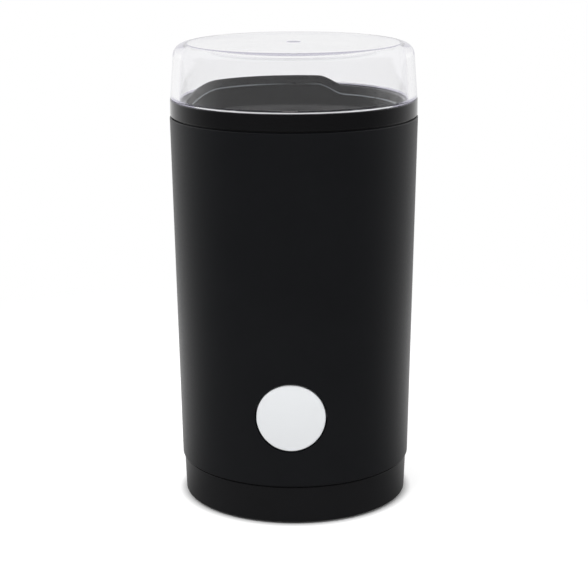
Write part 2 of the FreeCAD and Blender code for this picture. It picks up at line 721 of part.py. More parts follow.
def rod_slot(front_y, z0, z1):
    """Room for the interlock rod to pass the collar and the carrier's flange."""
    half = ROD_W / 2 + FIT + BUTTON_GAP
    return block(-half, half, front_y, ROD_TOP_Y + ROD_T + FIT, z0, z1)


def bowl_collar():
    """Ring on top of the sleeve: the lid's groove, the splash guard and a funnel that holds the bowl."""
    e = COLLAR_EDGE
    top_round = rounded((COLLAR_R - e, COLLAR_Z1 - e), e, 0, 90)
    land_r = COLLAR_R - SEAM_DEPTH
    ring = turned(outline(
        (FUNNEL_R, COLLAR_FOOT_Z), (GUARD_OUTER_R, COLLAR_FOOT_Z), (GUARD_OUTER_R, SLEEVE_Z1),
        (SPIGOT_INNER_R, SLEEVE_Z1), (SPIGOT_INNER_R, SPIGOT_Z0 + BEAD_H),
        (SPIGOT_INNER_R - BEAD_OUT, SPIGOT_Z0 + BEAD_H), (SPIGOT_INNER_R, SPIGOT_Z0),
        (SPIGOT_R, SPIGOT_Z0), (SPIGOT_R, SLEEVE_Z1), (land_r, SLEEVE_Z1), (land_r, COLLAR_Z0),
        (COLLAR_R, COLLAR_Z0), (COLLAR_R, COLLAR_Z1 - e), top_round, (GROOVE_R1, COLLAR_Z1),
        (GROOVE_R1, WEB_Z1), (GUARD_MID_R, WEB_Z1), (GUARD_MID_R, GUARD_FOOT_Z),
        (GUARD_R, GUARD_FOOT_Z), (GUARD_R, COLLAR_FOOT_Z + FUNNEL_H),
        (FUNNEL_R, COLLAR_FOOT_Z + FUNNEL_LIP)))
    hooks = around(hook_block(HOOK_W / 2, HOOK_OUT, 0), HOOK_COUNT, SCREW_START_DEG)
    collar = join([ring] + splash_guard() + hooks)
    bend_z = COLLAR_Z1 + GUARD_SIDE - FLARE_H
    slot = block(GUARD_R - GUARD_WALL, GUARD_OUTER_R + FLARE_OUT + GUARD_WALL, -DRAIN_SLOT_W / 2,
                 DRAIN_SLOT_W / 2, bend_z - DRAIN_SLOT_W, bend_z + 2 * FLARE_H)
    slot.rotate(V(GUARD_R, 0, bend_z), V(1, 0, 0), -DRAIN_LEAN_DEG)
    slot.rotate(ORIGIN, UP, DRAIN_SLOT_DEG)
    web_slot = rod_slot(ROD_TOP_Y - FIT, SPIGOT_Z0, WEB_Z1)
    spigot_slot = rod_slot(-SLEEVE_TOP_R, SPIGOT_Z0, SLEEVE_Z1)
    return collar.cut(Part.makeCompound([join([web_slot, spigot_slot]), slot]))


def grinding_bowl():
    """Deep-drawn steel bowl with a flat rim and a hole for the shaft seal."""
    outer = BOWL_R + SHEET
    c = BOWL_CORNER
    flat_r = BOWL_R - c
    corner_z = BOWL_FLOOR_Z1 + c
    return turned(outline(
        (BOWL_HOLE_R, BOWL_FLOOR_Z0), (flat_r, BOWL_FLOOR_Z0),
        rounded((flat_r, corner_z), c + SHEET, -90, 0), (outer, BOWL_RIM_Z0), (BOWL_RIM_R, BOWL_RIM_Z0),
        (BOWL_RIM_R, BOWL_RIM_Z1), (BOWL_R + BOWL_LIP, BOWL_RIM_Z1),
        rounded((BOWL_R + BOWL_LIP, BOWL_RIM_Z1 - BOWL_LIP), BOWL_LIP, 90, 180), (BOWL_R, corner_z),
        rounded((flat_r, corner_z), c, 0, -90), (BOWL_HOLE_R, BOWL_FLOOR_Z1)))


def bowl_gasket():
    """Flat silicone ring between the bowl's rim and the collar."""
    return tube(BOWL_RIM_R - GASKET_W, BOWL_RIM_R, BOWL_RIM_Z1, COLLAR_FOOT_Z)


def motor_carrier():
    """Cup round the bowl, with a flange in the collar, motor bosses and guides for the interlock rod."""
    flange_z1 = BOWL_RIM_Z0
    cup = turned(outline(
        (SEAL_R + RUNNING, CARRIER_FLOOR_Z0), (CARRIER_R1, CARRIER_FLOOR_Z0),
        (CARRIER_R1, CARRIER_FLANGE_Z0), (CARRIER_FLANGE_R, CARRIER_FLANGE_Z0),
        (CARRIER_FLANGE_R, flange_z1), (CARRIER_R0, flange_z1), (CARRIER_R0, CARRIER_FLOOR_Z1),
        (SEAL_R + RUNNING, CARRIER_FLOOR_Z1)))
    rest = tube(BOWL_REST_R - BOWL_REST_W, BOWL_REST_R, CARRIER_FLOOR_Z1, BOWL_FLOOR_Z0 - GAP)
    boss_z0 = STATOR_Z1 + BRACKET_SHEET
    boss = disc(CARRIER_BOSS_R, boss_z0, CARRIER_FLOOR_Z0, 0, BOLT_Y)
    web = block(-CARRIER_WEB_T / 2, CARRIER_WEB_T / 2, BOLT_Y, CARRIER_R1,
                boss_z0 + CARRIER_WEB_RISE, CARRIER_FLOOR_Z0)
    pieces = [cup, rest, boss, web, mirrored_y(boss), mirrored_y(web)]
    for drop in ROD_GUIDE_DROPS:
        pieces += rod_guides(ROD_JOG_Z - drop)
    carrier = join(pieces)
    pilot = disc(BOLT_R + RUNNING, boss_z0, CARRIER_FLOOR_Z0 - BOSS_CAP / 2, 0, BOLT_Y)
    rod_way = rod_slot(-SLEEVE_TOP_R, CARRIER_FLANGE_Z0, flange_z1)
    return carrier.cut(Part.makeCompound([pilot, mirrored_y(pilot), rod_way]))


def rod_guides(z0):
    """Pair of hooked rails that keep the interlock rod against the cup."""
    x0 = ROD_W / 2 + FIT
    front_y = ROD_LOW_Y - FIT
    x1 = x0 + ROD_GUIDE_W
    z1 = z0 + ROD_GUIDE_H
    rail = block(x0, x1, front_y, -CARRIER_R0 + CARRIER_WALL / 2, z0, z1)
    lip = block(x0 - ROD_GUIDE_LIP, x1, front_y - ROD_GUIDE_LIP, front_y, z0, z1)
    rails = []
    for piece in (rail, lip):
        rails += [piece, mirrored_x(piece)]
    hollow = disc(CARRIER_R0, z0, z1)
    return [r.cut(hollow) for r in rails]


def shaft_seal():
    """Rubber seal that closes the bowl's hole round the turning shaft."""
    neck = BOWL_HOLE_R - FIT
    top_r = SEAL_R + SEAL_LIP
    tail_z = CARRIER_FLOOR_Z0 - SEAL_TAIL
    return turned(outline(
        (SEAL_BORE_R, tail_z), (SEAL_R, tail_z), (SEAL_R, BOWL_FLOOR_Z0),
        (neck, BOWL_FLOOR_Z0), (neck, BOWL_FLOOR_Z1), (top_r, BOWL_FLOOR_Z1),
        (SEAL_BORE_R + SEAL_TOP_W, SEAL_Z1), (SEAL_BORE_R, SEAL_Z1)))


def bush(z0):
    """Self-aligning sintered bearing with a barrel-shaped outside."""
    waist = BUSH_R - BUSH_EDGE
    bore = SHAFT_R + RUNNING
    return turned(outline((bore, z0), (waist, z0), ((BUSH_R, z0 + BUSH_H / 2), (waist, z0 + BUSH_H)),
                          (bore, z0 + BUSH_H)))


def strap(width, sheet, z_foot, z_bridge):
    """Bent strap across the motor along Y: two feet on the stator's ears, two legs and a bridge."""
    rise = 1 if z_bridge > z_foot else -1
    foot0, foot1 = z_foot, z_foot + rise * sheet
    top0, top1 = z_bridge - rise * sheet, z_bridge
    y0, y1 = STRAP_LEG_Y, BOLT_Y + EAR_R
    points = [(-y1, foot0), (-y1, foot1), (-y0 - sheet, foot1), (-y0 - sheet, top1),
              (y0 + sheet, top1), (y0 + sheet, foot1), (y1, foot1), (y1, foot0),
              (y0, foot0), (y0, top0), (-y0, top0), (-y0, foot0)]
    corners = [V(-width / 2, y, z) for y, z in points]
    return Part.Face(Part.makePolygon(corners + [corners[0]])).extrude(V(width, 0, 0))


def upper_bearing_bracket():
    """Steel strap over the armature, with the upper bearing's cup."""
    body = strap(STRAP_W, BRACKET_SHEET, STATOR_Z1, STRAP_Z1)
    cup_z1 = UPPER_BUSH_Z0 + BUSH_H + BUSH_EDGE
    cup = disc(CUP_R, UPPER_BUSH_Z0 - CUP_FLOOR, cup_z1)
    pocket = disc(BUSH_R + SEAT, UPPER_BUSH_Z0, cup_z1)
    holes = [disc(BOLT_HOLE_R, STATOR_Z1, STATOR_Z1 + BRACKET_SHEET, 0, s * BOLT_Y) for s in (-1, 1)]
    shaft_way = disc(SHAFT_R + GAP, STATOR_Z1, CARRIER_FLOOR_Z0)
    return join([body, cup]).cut(Part.makeCompound([join([pocket, shaft_way])] + holes))


def lower_bearing_bracket():
    """Moulded bracket under the armature, with the lower bearing's cup and two arms for the brush holders."""
    body = strap(LOWER_STRAP_W, LOWER_SHEET, STATOR_Z0, LOWER_Z0)
    arms = block(-ARM_HALF_L, ARM_HALF_L, -ARM_W / 2, ARM_W / 2, LOWER_Z0, LOWER_Z1)
    cup = disc(CUP_R, LOWER_BUSH_Z0 - LOWER_CUP_FLOOR, LOWER_Z1)
    fin = block(CUP_R - ARM_FIN_T / 2, ARM_HALF_L - ARM_W / 2, -ARM_FIN_T / 2, ARM_FIN_T / 2,
                LOWER_BUSH_Z0, LOWER_Z0)
    pocket = disc(BUSH_R + SEAT, LOWER_BUSH_Z0, LOWER_Z1)
    end_room = disc(SHAFT_R + GAP, SHAFT_Z0 - GAP, LOWER_BUSH_Z0)
    holes = [disc(BOLT_HOLE_R, STATOR_Z0 - LOWER_SHEET, STATOR_Z0, 0, s * BOLT_Y) for s in (-1, 1)]
    return join([body, arms, cup, fin, mirrored_x(fin)]).cut(
        Part.makeCompound([join([pocket, end_room])] + holes))


def stator_core():
    """Lamination stack: closed frame, two pole shoes round the armature and two bolt ears."""
    half_x, half_y = STATOR_X / 2, STATOR_Y / 2
    z0, z1 = STATOR_Z0, STATOR_Z1
    frame = rounded_plate(half_x, half_y, STATOR_CORNER, z0, z1)
    ears = [disc(EAR_R, z0, z1, 0, s * BOLT_Y) for s in (-1, 1)]
    window = rounded_plate(half_x - FRAME_T, half_y - FRAME_T, WINDOW_CORNER, z0, z1)
    ring = join([frame] + ears).cut(window)
    shoe_r1 = POLE_SHOE_R + POLE_SHOE_T
    shoe = turned(outline((POLE_SHOE_R, z0), (shoe_r1, z0), (shoe_r1, z1), (POLE_SHOE_R, z1)),
                  -POLE_SHOE_DEG, 2 * POLE_SHOE_DEG)
    neck = block(POLE_SHOE_R, half_x - FRAME_T / 2, -POLE_NECK_W / 2, POLE_NECK_W / 2, z0, z1)
    neck = neck.cut(disc(POLE_SHOE_R + POLE_SHOE_T / 2, z0, z1))
    pole = join([shoe, neck])
    core = join([ring, pole, mirrored_x(pole)])
    holes = [disc(BOLT_HOLE_R, z0, z1, 0, s * BOLT_Y) for s in (-1, 1)]
    return core.cut(Part.makeCompound(holes))


def field_coils():
    """Two taped windings, one round each pole neck."""
    x1 = STATOR_X / 2 - FRAME_T - GAP
    x0 = x1 - COIL_T
    z0, z1 = STATOR_Z0 - COIL_OVERHANG, STATOR_Z1 + COIL_OVERHANG
    hole_half = POLE_NECK_W / 2 + GAP
    coil = block(x0, x1, -COIL_HALF_W, COIL_HALF_W, z0, z1)
    along_x = [e for e in coil.Edges if abs(e.Vertexes[0].X - e.Vertexes[-1].X) > 1e-6]
    coil = coil.makeFillet(COIL_CORNER, along_x)
    coil = coil.cut(block(x0, x1, -hole_half, hole_half, STATOR_Z0 - GAP, STATOR_Z1 + GAP))
    return Part.makeCompound([coil, mirrored_x(coil)])


def motor_bolts():
    """Long bolts that hang the stator and both brackets from the carrier's bosses."""
    z0 = STATOR_Z0 - LOWER_SHEET
    head = disc(BOLT_HEAD_R, z0 - BOLT_HEAD_H, z0, 0, BOLT_Y)
    shank = disc(BOLT_R, z0, CARRIER_FLOOR_Z0 - BOSS_CAP, 0, BOLT_Y)
    slot = block(-BOLT_HEAD_R, BOLT_HEAD_R, BOLT_Y - BOLT_SLOT_W / 2, BOLT_Y + BOLT_SLOT_W / 2,
                 z0 - BOLT_HEAD_H, z0 - BOLT_HEAD_H + BOLT_SLOT_H)
    bolt = join([head, shank]).cut(slot)
    return Part.makeCompound([bolt, mirrored_y(bolt)])


def brush_holders():
    """Two square tubes on the lower bracket's arms."""
    x0, x1 = RISER_R + HOLDER_GAP, ARM_HALF_L
    half_y = BRUSH_W / 2 + RUNNING + HOLDER_WALL
    z1 = BRUSH_Z + BRUSH_H / 2 + HOLDER_WALL
    body = block(x0, x1, -half_y, half_y, LOWER_Z1, z1)
    bore = block(x0, BRUSH_SPRING_X + BRUSH_SPRING_L, -BRUSH_W / 2 - RUNNING, BRUSH_W / 2 + RUNNING,
                 BRUSH_Z - BRUSH_H / 2 - RUNNING, BRUSH_Z + BRUSH_H / 2 + RUNNING)
    holder = body.cut(bore)
    return Part.makeCompound([holder, mirrored_x(holder)])


def carbon_brushes():
    """Two carbon blocks on the commutator."""
    brush = block(BRUSH_X0, BRUSH_SPRING_X, -BRUSH_W / 2, BRUSH_W / 2,
                  BRUSH_Z - BRUSH_H / 2, BRUSH_Z + BRUSH_H / 2)
    return Part.makeCompound([brush, mirrored_x(brush)])


def brush_springs():
    """Springs that push the brushes inwards."""
    spring = coil_spring(BRUSH_SPRING_R, BRUSH_WIRE_R, BRUSH_SPRING_L, BRUSH_TURNS)
    spring.rotate(ORIGIN, V(0, 1, 0), 90)
    spring.translate(V(BRUSH_SPRING_X, 0, BRUSH_Z))
    other = spring.copy()
    other.rotate(ORIGIN, UP, 180)
    return Part.makeCompound([spring, other])


def motor_shaft():
    """Steel shaft from the lower bearing up into the bowl, stepped down to a thread for the blade's nut."""
    tip_z = NUT_Z0 + NUT_H - NUT_CAP - SEAT
    return turned(outline((0, SHAFT_Z0), (SHAFT_R - SHAFT_EDGE, SHAFT_Z0), (SHAFT_R, SHAFT_Z0 + SHAFT_EDGE),
                          (SHAFT_R, BLADE_Z0), (THREAD_R, BLADE_Z0), (THREAD_R, tip_z), (0, tip_z)))


def slot_cut(z0, z1, slack):
    """One winding slot in the armature at azimuth 0, with a narrow mouth, smaller all round by a slack."""
    floor_r = ARMATURE_R - SLOT_LIP - SLOT_DEPTH
    pocket = block(floor_r + slack, ARMATURE_R - SLOT_LIP - slack,
                   -SLOT_W / 2 + slack, SLOT_W / 2 - slack, z0, z1)
    mouth = block(ARMATURE_R - 2 * SLOT_LIP, ARMATURE_R + SLOT_LIP, -SLOT_MOUTH / 2, SLOT_MOUTH / 2, z0, z1)
    return pocket, mouth


def armature_core():
    """Slotted lamination stack on the shaft."""
    core = tube(SHAFT_R, ARMATURE_R, STATOR_Z0, STATOR_Z1)
    pocket, mouth = slot_cut(STATOR_Z0, STATOR_Z1, 0.0)
    return core.cut(Part.makeCompound(around(join([pocket, mouth]), SLOT_COUNT)))


def armature_winding():
    """Wire in the slots, joined by rounded end turns above and below the stack."""
    low_z = COMMUTATOR_Z0 + COMMUTATOR_H + FIT
    r0, r1, c = WINDING_CORE_R, WINDING_R, WINDING_ROUND
    top_z = STATOR_Z1 + WINDING_TOP_H
    top = turned(outline((r0, STATOR_Z1), (r1, STATOR_Z1), (r1, top_z - c),
                         rounded((r1 - c, top_z - c), c, 0, 90), (r0, top_z)))
    bottom = turned(outline((r0, STATOR_Z0), (r0, low_z), (COMMUTATOR_R - RISER_H, low_z),
                            (r1, STATOR_Z0 - WINDING_SHOULDER), (r1, STATOR_Z0)))
    pocket, _ = slot_cut(STATOR_Z0, STATOR_Z1, RUNNING)
    return join([top, bottom] + around(pocket, SLOT_COUNT))


def commutator():
    """Copper drum with a riser and slits between its bars."""
    z0, z1 = COMMUTATOR_Z0, COMMUTATOR_Z0 + COMMUTATOR_H
    drum = turned(outline((SHAFT_R, z0), (COMMUTATOR_R, z0), (COMMUTATOR_R, z1 - RISER_H),
                          (RISER_R, z1 - RISER_H), (RISER_R, z1), (SHAFT_R, z1)))
    slit = block(COMMUTATOR_R - BAR_SLOT_DEPTH, 2 * RISER_R, -BAR_SLOT_W / 2, BAR_SLOT_W / 2, z0, z1)
    return drum.cut(Part.makeCompound(around(slit, COMMUTATOR_BARS, 180.0 / COMMUTATOR_BARS)))


def blade_hub():
    """Moulded collar that carries the blade above the seal."""
    return turned(outline((SHAFT_R, HUB_Z0), (HUB_R, HUB_Z0), (HUB_R, HUB_Z0 + HUB_FOOT),
                          (HUB_TOP_R, BLADE_Z0), (SHAFT_R, BLADE_Z0)))


def blade_section(x, width, lift, twist):
    """Cross-section of a wing with a ground leading edge, turned about its own middle."""
    half, t = width / 2, BLADE_T
    points = [(-half, 0.0), (half, 0.0), (half, 0.25 * t), (half - BLADE_GRIND, t), (-half, t)]
    a = math.radians(twist)
    corners = []
    for y, z in points:
        turned_y = y * math.cos(a) - (z - t / 2) * math.sin(a)
        turned_z = y * math.sin(a) + (z - t / 2) * math.cos(a) + t / 2
        corners.append(V(x, turned_y, BLADE_Z0 + lift + turned_z))
    return Part.makePolygon(corners + [corners[0]])


def blade():
    """Two-winged stainless blade: flat at the hub, twisted and bent towards the tips, one up and one down."""
    root_x = BLADE_ROOT_W / 2
    wings = []
    for bend in (1, -1):
        stations = [(0.0, 0.0, 0.0), (0.18, 0.05, 0.0), (0.55, 0.55, 0.6), (1.0, 1.0, 1.0)]
        sections = []
        for share, lift, twist in stations:
            x = root_x + share * (BLADE_R - root_x)
            width = BLADE_ROOT_W + share * (BLADE_TIP_W - BLADE_ROOT_W)
            sections.append(blade_section(x, width, bend * lift * BLADE_BEND, twist * BLADE_TWIST_DEG))
        wing = Part.makeLoft(sections, True, True)
        if bend < 0:
            wing.rotate(ORIGIN, UP, 180)
        wings.append(wing)
    middle = block(-root_x, root_x, -root_x, root_x, BLADE_Z0, BLADE_Z0 + BLADE_T)
    hole = disc(THREAD_R + RUNNING, BLADE_Z0, BLADE_Z0 + BLADE_T)
    return join([middle] + wings).cut(hole)


def blade_washer():
    """Washer between blade and nut."""
    z0 = BLADE_Z0 + BLADE_T
    return tube(THREAD_R + RUNNING, WASHER_R, z0, z0 + WASHER_T)


def blade_nut():
    """Domed cap nut, hexagonal below its dome."""
    hexagon = [V(NUT_R * math.cos(math.radians(60 * i)), NUT_R * math.sin(math.radians(60 * i)), NUT_Z0)
               for i in range(6)]
    prism = Part.Face(Part.makePolygon(hexagon + [hexagon[0]])).extrude(V(0, 0, NUT_H))
    flat = NUT_R * math.cos(math.radians(30))
    dome_z = NUT_Z0 + NUT_FLATS_H
    crown = turned(outline((0, NUT_Z0), (NUT_R, NUT_Z0), (NUT_R, dome_z - (NUT_R - flat)), (flat, dome_z),
                           ((0.72 * flat, NUT_Z0 + 0.84 * NUT_H), (0, NUT_Z0 + NUT_H))))
    thread = disc(THREAD_R + RUNNING, NUT_Z0, NUT_Z0 + NUT_H - NUT_CAP)
    return prism.common(crown).cut(thread)


def push_button():
    """Round button whose face follows the housing, with a skirt, a flange, a key and a switch stem."""
    face_r = sleeve_r(BUTTON_Z) + BUTTON_PROUD
    bulge = BUTTON_BULGE_R
    half = 1.6 * BUTTON_R
    sag = bulge - math.sqrt(bulge ** 2 - half ** 2)
    barrel = turned(outline((0, BUTTON_Z - half), (face_r - sag, BUTTON_Z - half),
                            ((face_r, BUTTON_Z), (face_r - sag, BUTTON_Z + half)), (0, BUTTON_Z + half)))
    cap = pin_y(BUTTON_R, FRONT_Y, FLANGE_Y1, 0, BUTTON_Z).common(barrel)
    rim = [e for e in cap.Edges if e.BoundBox.YMax < -0.5 * face_r and e.BoundBox.YMax < FLANGE_Y0
           and e.BoundBox.YMin < FLANGE_Y0 and e.BoundBox.ZLength > 1.9 * BUTTON_R]
    cap = cap.makeFillet(BUTTON_EDGE, rim)
    flange = pin_y(FLANGE_R, FLANGE_Y0, FLANGE_Y1, 0, BUTTON_Z)
    key = block(-KEY_W / 2, KEY_W / 2, FLANGE_Y0 - KEY_L, FLANGE_Y0,
                BUTTON_Z + BUTTON_R - BUTTON_WALL / 2, BUTTON_Z + APERTURE_R + KEY_OUT - GAP)
    cavity_y0 = button_cavity_y()
    cavity = pin_y(BUTTON_R - BUTTON_WALL, cavity_y0, FLANGE_Y1, 0, BUTTON_Z)
    shell = join([cap, flange, key]).cut(cavity)
    stem = pin_y(STEM_R, cavity_y0 - BUTTON_WALL / 4, STEM_END_Y, 0, BUTTON_Z)
    return join([shell, stem])


def button_cavity_y():
    """Inside face of the button's cap, where its spring presses."""
    corner_depth = math.sqrt(sleeve_r(BUTTON_Z) ** 2 - BUTTON_R ** 2)
    return -corner_depth + BUTTON_WALL


def button_spring():
    """Return spring between the button's cap and the bracket plate."""
    y0 = button_cavity_y()
    spring = coil_spring(BUTTON_SPRING_R, BUTTON_WIRE_R, PLATE_Y - y0, BUTTON_TURNS)
    spring.rotate(ORIGIN, V(1, 0, 0), -90)
    spring.translate(V(0, y0, BUTTON_Z))
    return spring


def switch_bracket():
    """Moulded plate behind the button, with a cradle for the lid switch and pegs for both switches."""
    low = block(-PLATE_HALF_W, PLATE_HALF_W, PLATE_Y, PLATE_Y1,
                BUTTON_Z - PLATE_HALF_H, BUTTON_Z + PLATE_HALF_H)
    along_y = [e for e in low.Edges if abs(e.Vertexes[0].Y - e.Vertexes[-1].Y) > 1e-6]
    low = low.makeFillet(PLATE_CORNER, along_y)
    half = SWITCH_L / 2 + GAP + CHEEK_T
    cheek_z1 = LEDGE_Z1 + CHEEK_H
    high = block(-half, half, PLATE_Y, PLATE_Y1, BUTTON_Z, cheek_z1)
    ledge = block(-half, half, FRONT_Y, PLATE_Y1, LEDGE_Z, LEDGE_Z1)
    cheek = block(half - CHEEK_T, half, FRONT_Y, PLATE_Y1, LEDGE_Z, cheek_z1)
    inside = disc(sleeve_inner_r(LEDGE_Z) - 3 * GAP, LEDGE_Z, cheek_z1)
    peg_y = PLATE_Y1 + PEG_L
    pegs = []
    for side in (-1, 1):
        pegs.append(pin_y(PEG_R, PLATE_Y - PEG_L, PLATE_Y, side * PEG_SPREAD, LID_SWITCH_Z1 - SWITCH_D / 2))
    tab = block(-SWITCH_L / 2, SWITCH_L / 2, PLATE_Y1, peg_y, BUTTON_Z - SWITCH_T / 2 - LEDGE_T,
                BUTTON_Z - SWITCH_T / 2)
    bracket = join([low, high, ledge.common(inside), cheek.common(inside), mirrored_x(cheek).common(inside),
                    tab] + pegs)
    cuts = [pin_y(PLUNGER_R + GAP, PLATE_Y, PLATE_Y1, 0, BUTTON_Z)]
    for side in (-1, 1):
        cuts.append(pin_y(BRACKET_PILOT_R + FIT, PLATE_Y, PLATE_Y1, side * BRACKET_SCREW_X, BUTTON_Z))
        x = side * (SWITCH_L / 2 - TERMINAL_W / 2 - TERMINAL_INSET)
        y = PLATE_Y - SWITCH_T / 2
        cuts.append(block(x - TERMINAL_W / 2 - FIT, x + TERMINAL_W / 2 + FIT,
                          y - TERMINAL_T / 2 - FIT, y + TERMINAL_T / 2 + FIT, LEDGE_Z, LEDGE_Z1))
    return bracket.cut(Part.makeCompound(cuts))


def bracket_screws():
    """Two screws that hold the bracket on the sleeve's bosses."""
    screws = []
    for side in (-1, 1):
        x = side * BRACKET_SCREW_X
        head_y = PLATE_Y1 + BRACKET_HEAD_H
        head = pin_y(BRACKET_HEAD_R, PLATE_Y1, head_y, x, BUTTON_Z)
        shank = pin_y(BRACKET_PILOT_R, PLATE_Y - BRACKET_SCREW_L, PLATE_Y1, x, BUTTON_Z)
        slot = block(x - BRACKET_HEAD_R, x + BRACKET_HEAD_R, head_y - BRACKET_SLOT, head_y,
                     BUTTON_Z - BRACKET_SLOT / 2, BUTTON_Z + BRACKET_SLOT / 2)
        screws.append(join([head, shank]).cut(slot))
    return Part.makeCompound(screws)


def button_switch():
    """Micro switch behind the plate, its plunger towards the button."""
    half = SWITCH_T / 2
    body = block(-SWITCH_L / 2, SWITCH_L / 2, PLATE_Y1, PLATE_Y1 + SWITCH_D, BUTTON_Z - half, BUTTON_Z + half)
    bore = pin_y(PLUNGER_R + SEAT, PLATE_Y1, PLATE_Y1 + PLUNGER_BORE, 0, BUTTON_Z)
    peg_y = PLATE_Y1 + SWITCH_D - PEG_INSET
    holes = [disc(PEG_R + SEAT, BUTTON_Z - half, BUTTON_Z + half, s * PEG_SPREAD, peg_y) for s in (-1, 1)]
    return body.cut(Part.makeCompound([bore] + holes))


def button_switch_plunger():
    """The button switch's own plunger."""
    body = pin_y(PLUNGER_R, BUTTON_PLUNGER_TIP_Y, PLATE_Y1 + PLUNGER_TAIL, 0, BUTTON_Z)
    tip = [e for e in body.Edges if abs(e.CenterOfMass.y - BUTTON_PLUNGER_TIP_Y) < 1e-6]
    return body.makeFillet(PLUNGER_ROUND, tip)


def lid_switch():
    """Micro switch in the bracket's cradle, its plunger upwards under the interlock rod."""
    body = block(-SWITCH_L / 2, SWITCH_L / 2, PLATE_Y - SWITCH_T, PLATE_Y, LEDGE_Z1, LID_SWITCH_Z1)
    bore = disc(PLUNGER_R + SEAT, LID_SWITCH_Z1 - PLUNGER_BORE, LID_SWITCH_Z1, 0, PLATE_Y - SWITCH_T / 2)
    holes = [pin_y(PEG_R + SEAT, PLATE_Y - SWITCH_T, PLATE_Y, s * PEG_SPREAD, LID_SWITCH_Z1 - SWITCH_D / 2)
             for s in (-1, 1)]
    return body.cut(Part.makeCompound([bore] + holes))


def lid_switch_plunger():
    """The lid switch's own plunger, held down while the lid is on."""
    body = disc(PLUNGER_R, LID_SWITCH_Z1 - PLUNGER_TAIL, LID_PLUNGER_TIP_Z, 0, PLATE_Y - SWITCH_T / 2)
    tip = [e for e in body.Edges if abs(e.CenterOfMass.z - LID_PLUNGER_TIP_Z) < 1e-6]
    return body.makeFillet(PLUNGER_ROUND, tip)


def switch_terminals():
    """Brass blades on the far side of each switch from its plunger."""
    blades = []
    y0 = PLATE_Y1 + SWITCH_D
    for side in (-1, 1):
        x = side * (SWITCH_L / 2 - TERMINAL_W / 2 - TERMINAL_INSET)
        blades.append(block(x - TERMINAL_W / 2, x + TERMINAL_W / 2, y0, y0 + TERMINAL_L,
                            BUTTON_Z - TERMINAL_T / 2, BUTTON_Z + TERMINAL_T / 2))
        y = PLATE_Y - SWITCH_T / 2
        blades.append(block(x - TERMINAL_W / 2, x + TERMINAL_W / 2, y - TERMINAL_T / 2, y + TERMINAL_T / 2,
                            LEDGE_Z1 - TERMINAL_L, LEDGE_Z1))
    return Part.makeCompound(blades)


def interlock_rod():
    """Flat push rod from the lid's groove down to the lid switch, with a jog under the collar and a foot."""
    half = ROD_W / 2
    top, low, t = ROD_TOP_Y, ROD_LOW_Y, ROD_T
    z1, jog1, jog0 = ROD_Z1, ROD_JOG_Z, ROD_JOG_Z - ROD_JOG_H
    foot0, foot1 = ROD_FOOT_Z0, ROD_FOOT_Z0 + ROD_FOOT_T
    toe = PLATE_Y - SWITCH_T / 2 + ROD_TOE
    points = [(top, z1 - ROD_NOSE), (top + ROD_NOSE, z1), (top + t, z1), (top + t, jog1), (low + t, jog0),
              (low + t, foot1), (toe, foot1), (toe, foot0), (low, foot0), (low, jog0), (top, jog1)]
    corners = [V(-half, y, z) for y, z in points]
    rod = Part.Face(Part.makePolygon(corners + [corners[0]])).extrude(V(ROD_W, 0, 0))
    peg = disc(PEG_R, foot0 - ROD_PEG_L, foot0, 0, SPRING_SEAT_Y)
    return join([rod, peg])


def interlock_spring():
    """Spring that lifts the rod when the lid comes off."""
    spring = coil_spring(LID_SPRING_R, LID_WIRE_R, ROD_FOOT_Z0 - LEDGE_Z1, LID_SPRING_TURNS)
    spring.translate(V(0, SPRING_SEAT_Y, LEDGE_Z1))
    return spring


def lid():
    """Thick clear cap: skirt in the collar's groove, shoulder on the collar, rounded top and a gate mark."""
    skirt_r1 = GROOVE_R1 - LID_FIT
    skirt_r0 = skirt_r1 - LID_SKIRT_T
    s = LID_SHOULDER
    top_z0 = LID_Z1 - LID_TOP_T
    c = LID_INNER_CORNER
    shoulder = rounded((LID_SHOULDER_R - s, LID_Z1 - s), s, 0, 90)
    inner_top_r = LID_SHOULDER_R - LID_WALL
    corner = rounded((inner_top_r - c, top_z0 - c), c, 90, 0)
    draft = LID_TAPER / (LID_Z1 - s - LID_Z0)
    inner_foot_r = LID_R - LID_WALL - draft * LID_JOG
    return turned(outline(
        (skirt_r0, LID_SKIRT_Z0), (skirt_r1 - LID_BEVEL, LID_SKIRT_Z0), (skirt_r1, LID_SKIRT_Z0 + LID_BEVEL),
        (skirt_r1, LID_Z0), (LID_R - LID_BEVEL, LID_Z0), (LID_R, LID_Z0 + LID_BEVEL),
        (LID_SHOULDER_R, LID_Z1 - s), shoulder, (GATE_R, LID_Z1),
        (GATE_R - GATE_DEPTH, LID_Z1 - GATE_DEPTH), (0, LID_Z1 - GATE_DEPTH), (0, top_z0),
        (inner_top_r - c, top_z0), corner, (inner_foot_r, LID_Z0 + LID_JOG),
        (skirt_r0, LID_Z0 + LID_JOG / 2)))


NODES = [
    main_housing, base_cover, rubber_feet, base_screws, cord_gland, bowl_collar, grinding_bowl, bowl_gasket,
    motor_carrier, shaft_seal, upper_bearing_bracket, lower_bearing_bracket, stator_core, field_coils,
    motor_bolts, brush_holders, carbon_brushes, brush_springs, motor_shaft, armature_core, armature_winding,
    commutator, blade_hub, blade, blade_washer, blade_nut, push_button, button_spring, switch_bracket,
    bracket_screws, button_switch, button_switch_plunger, lid_switch, lid_switch_plunger, switch_terminals,
    interlock_rod, interlock_spring, lid,
]


def upper_bearing():
    """Bearing in the upper bracket."""
    return bush(UPPER_BUSH_Z0)


def lower_bearing():
    """Bearing in the lower bracket."""
    return bush(LOWER_BUSH_Z0)


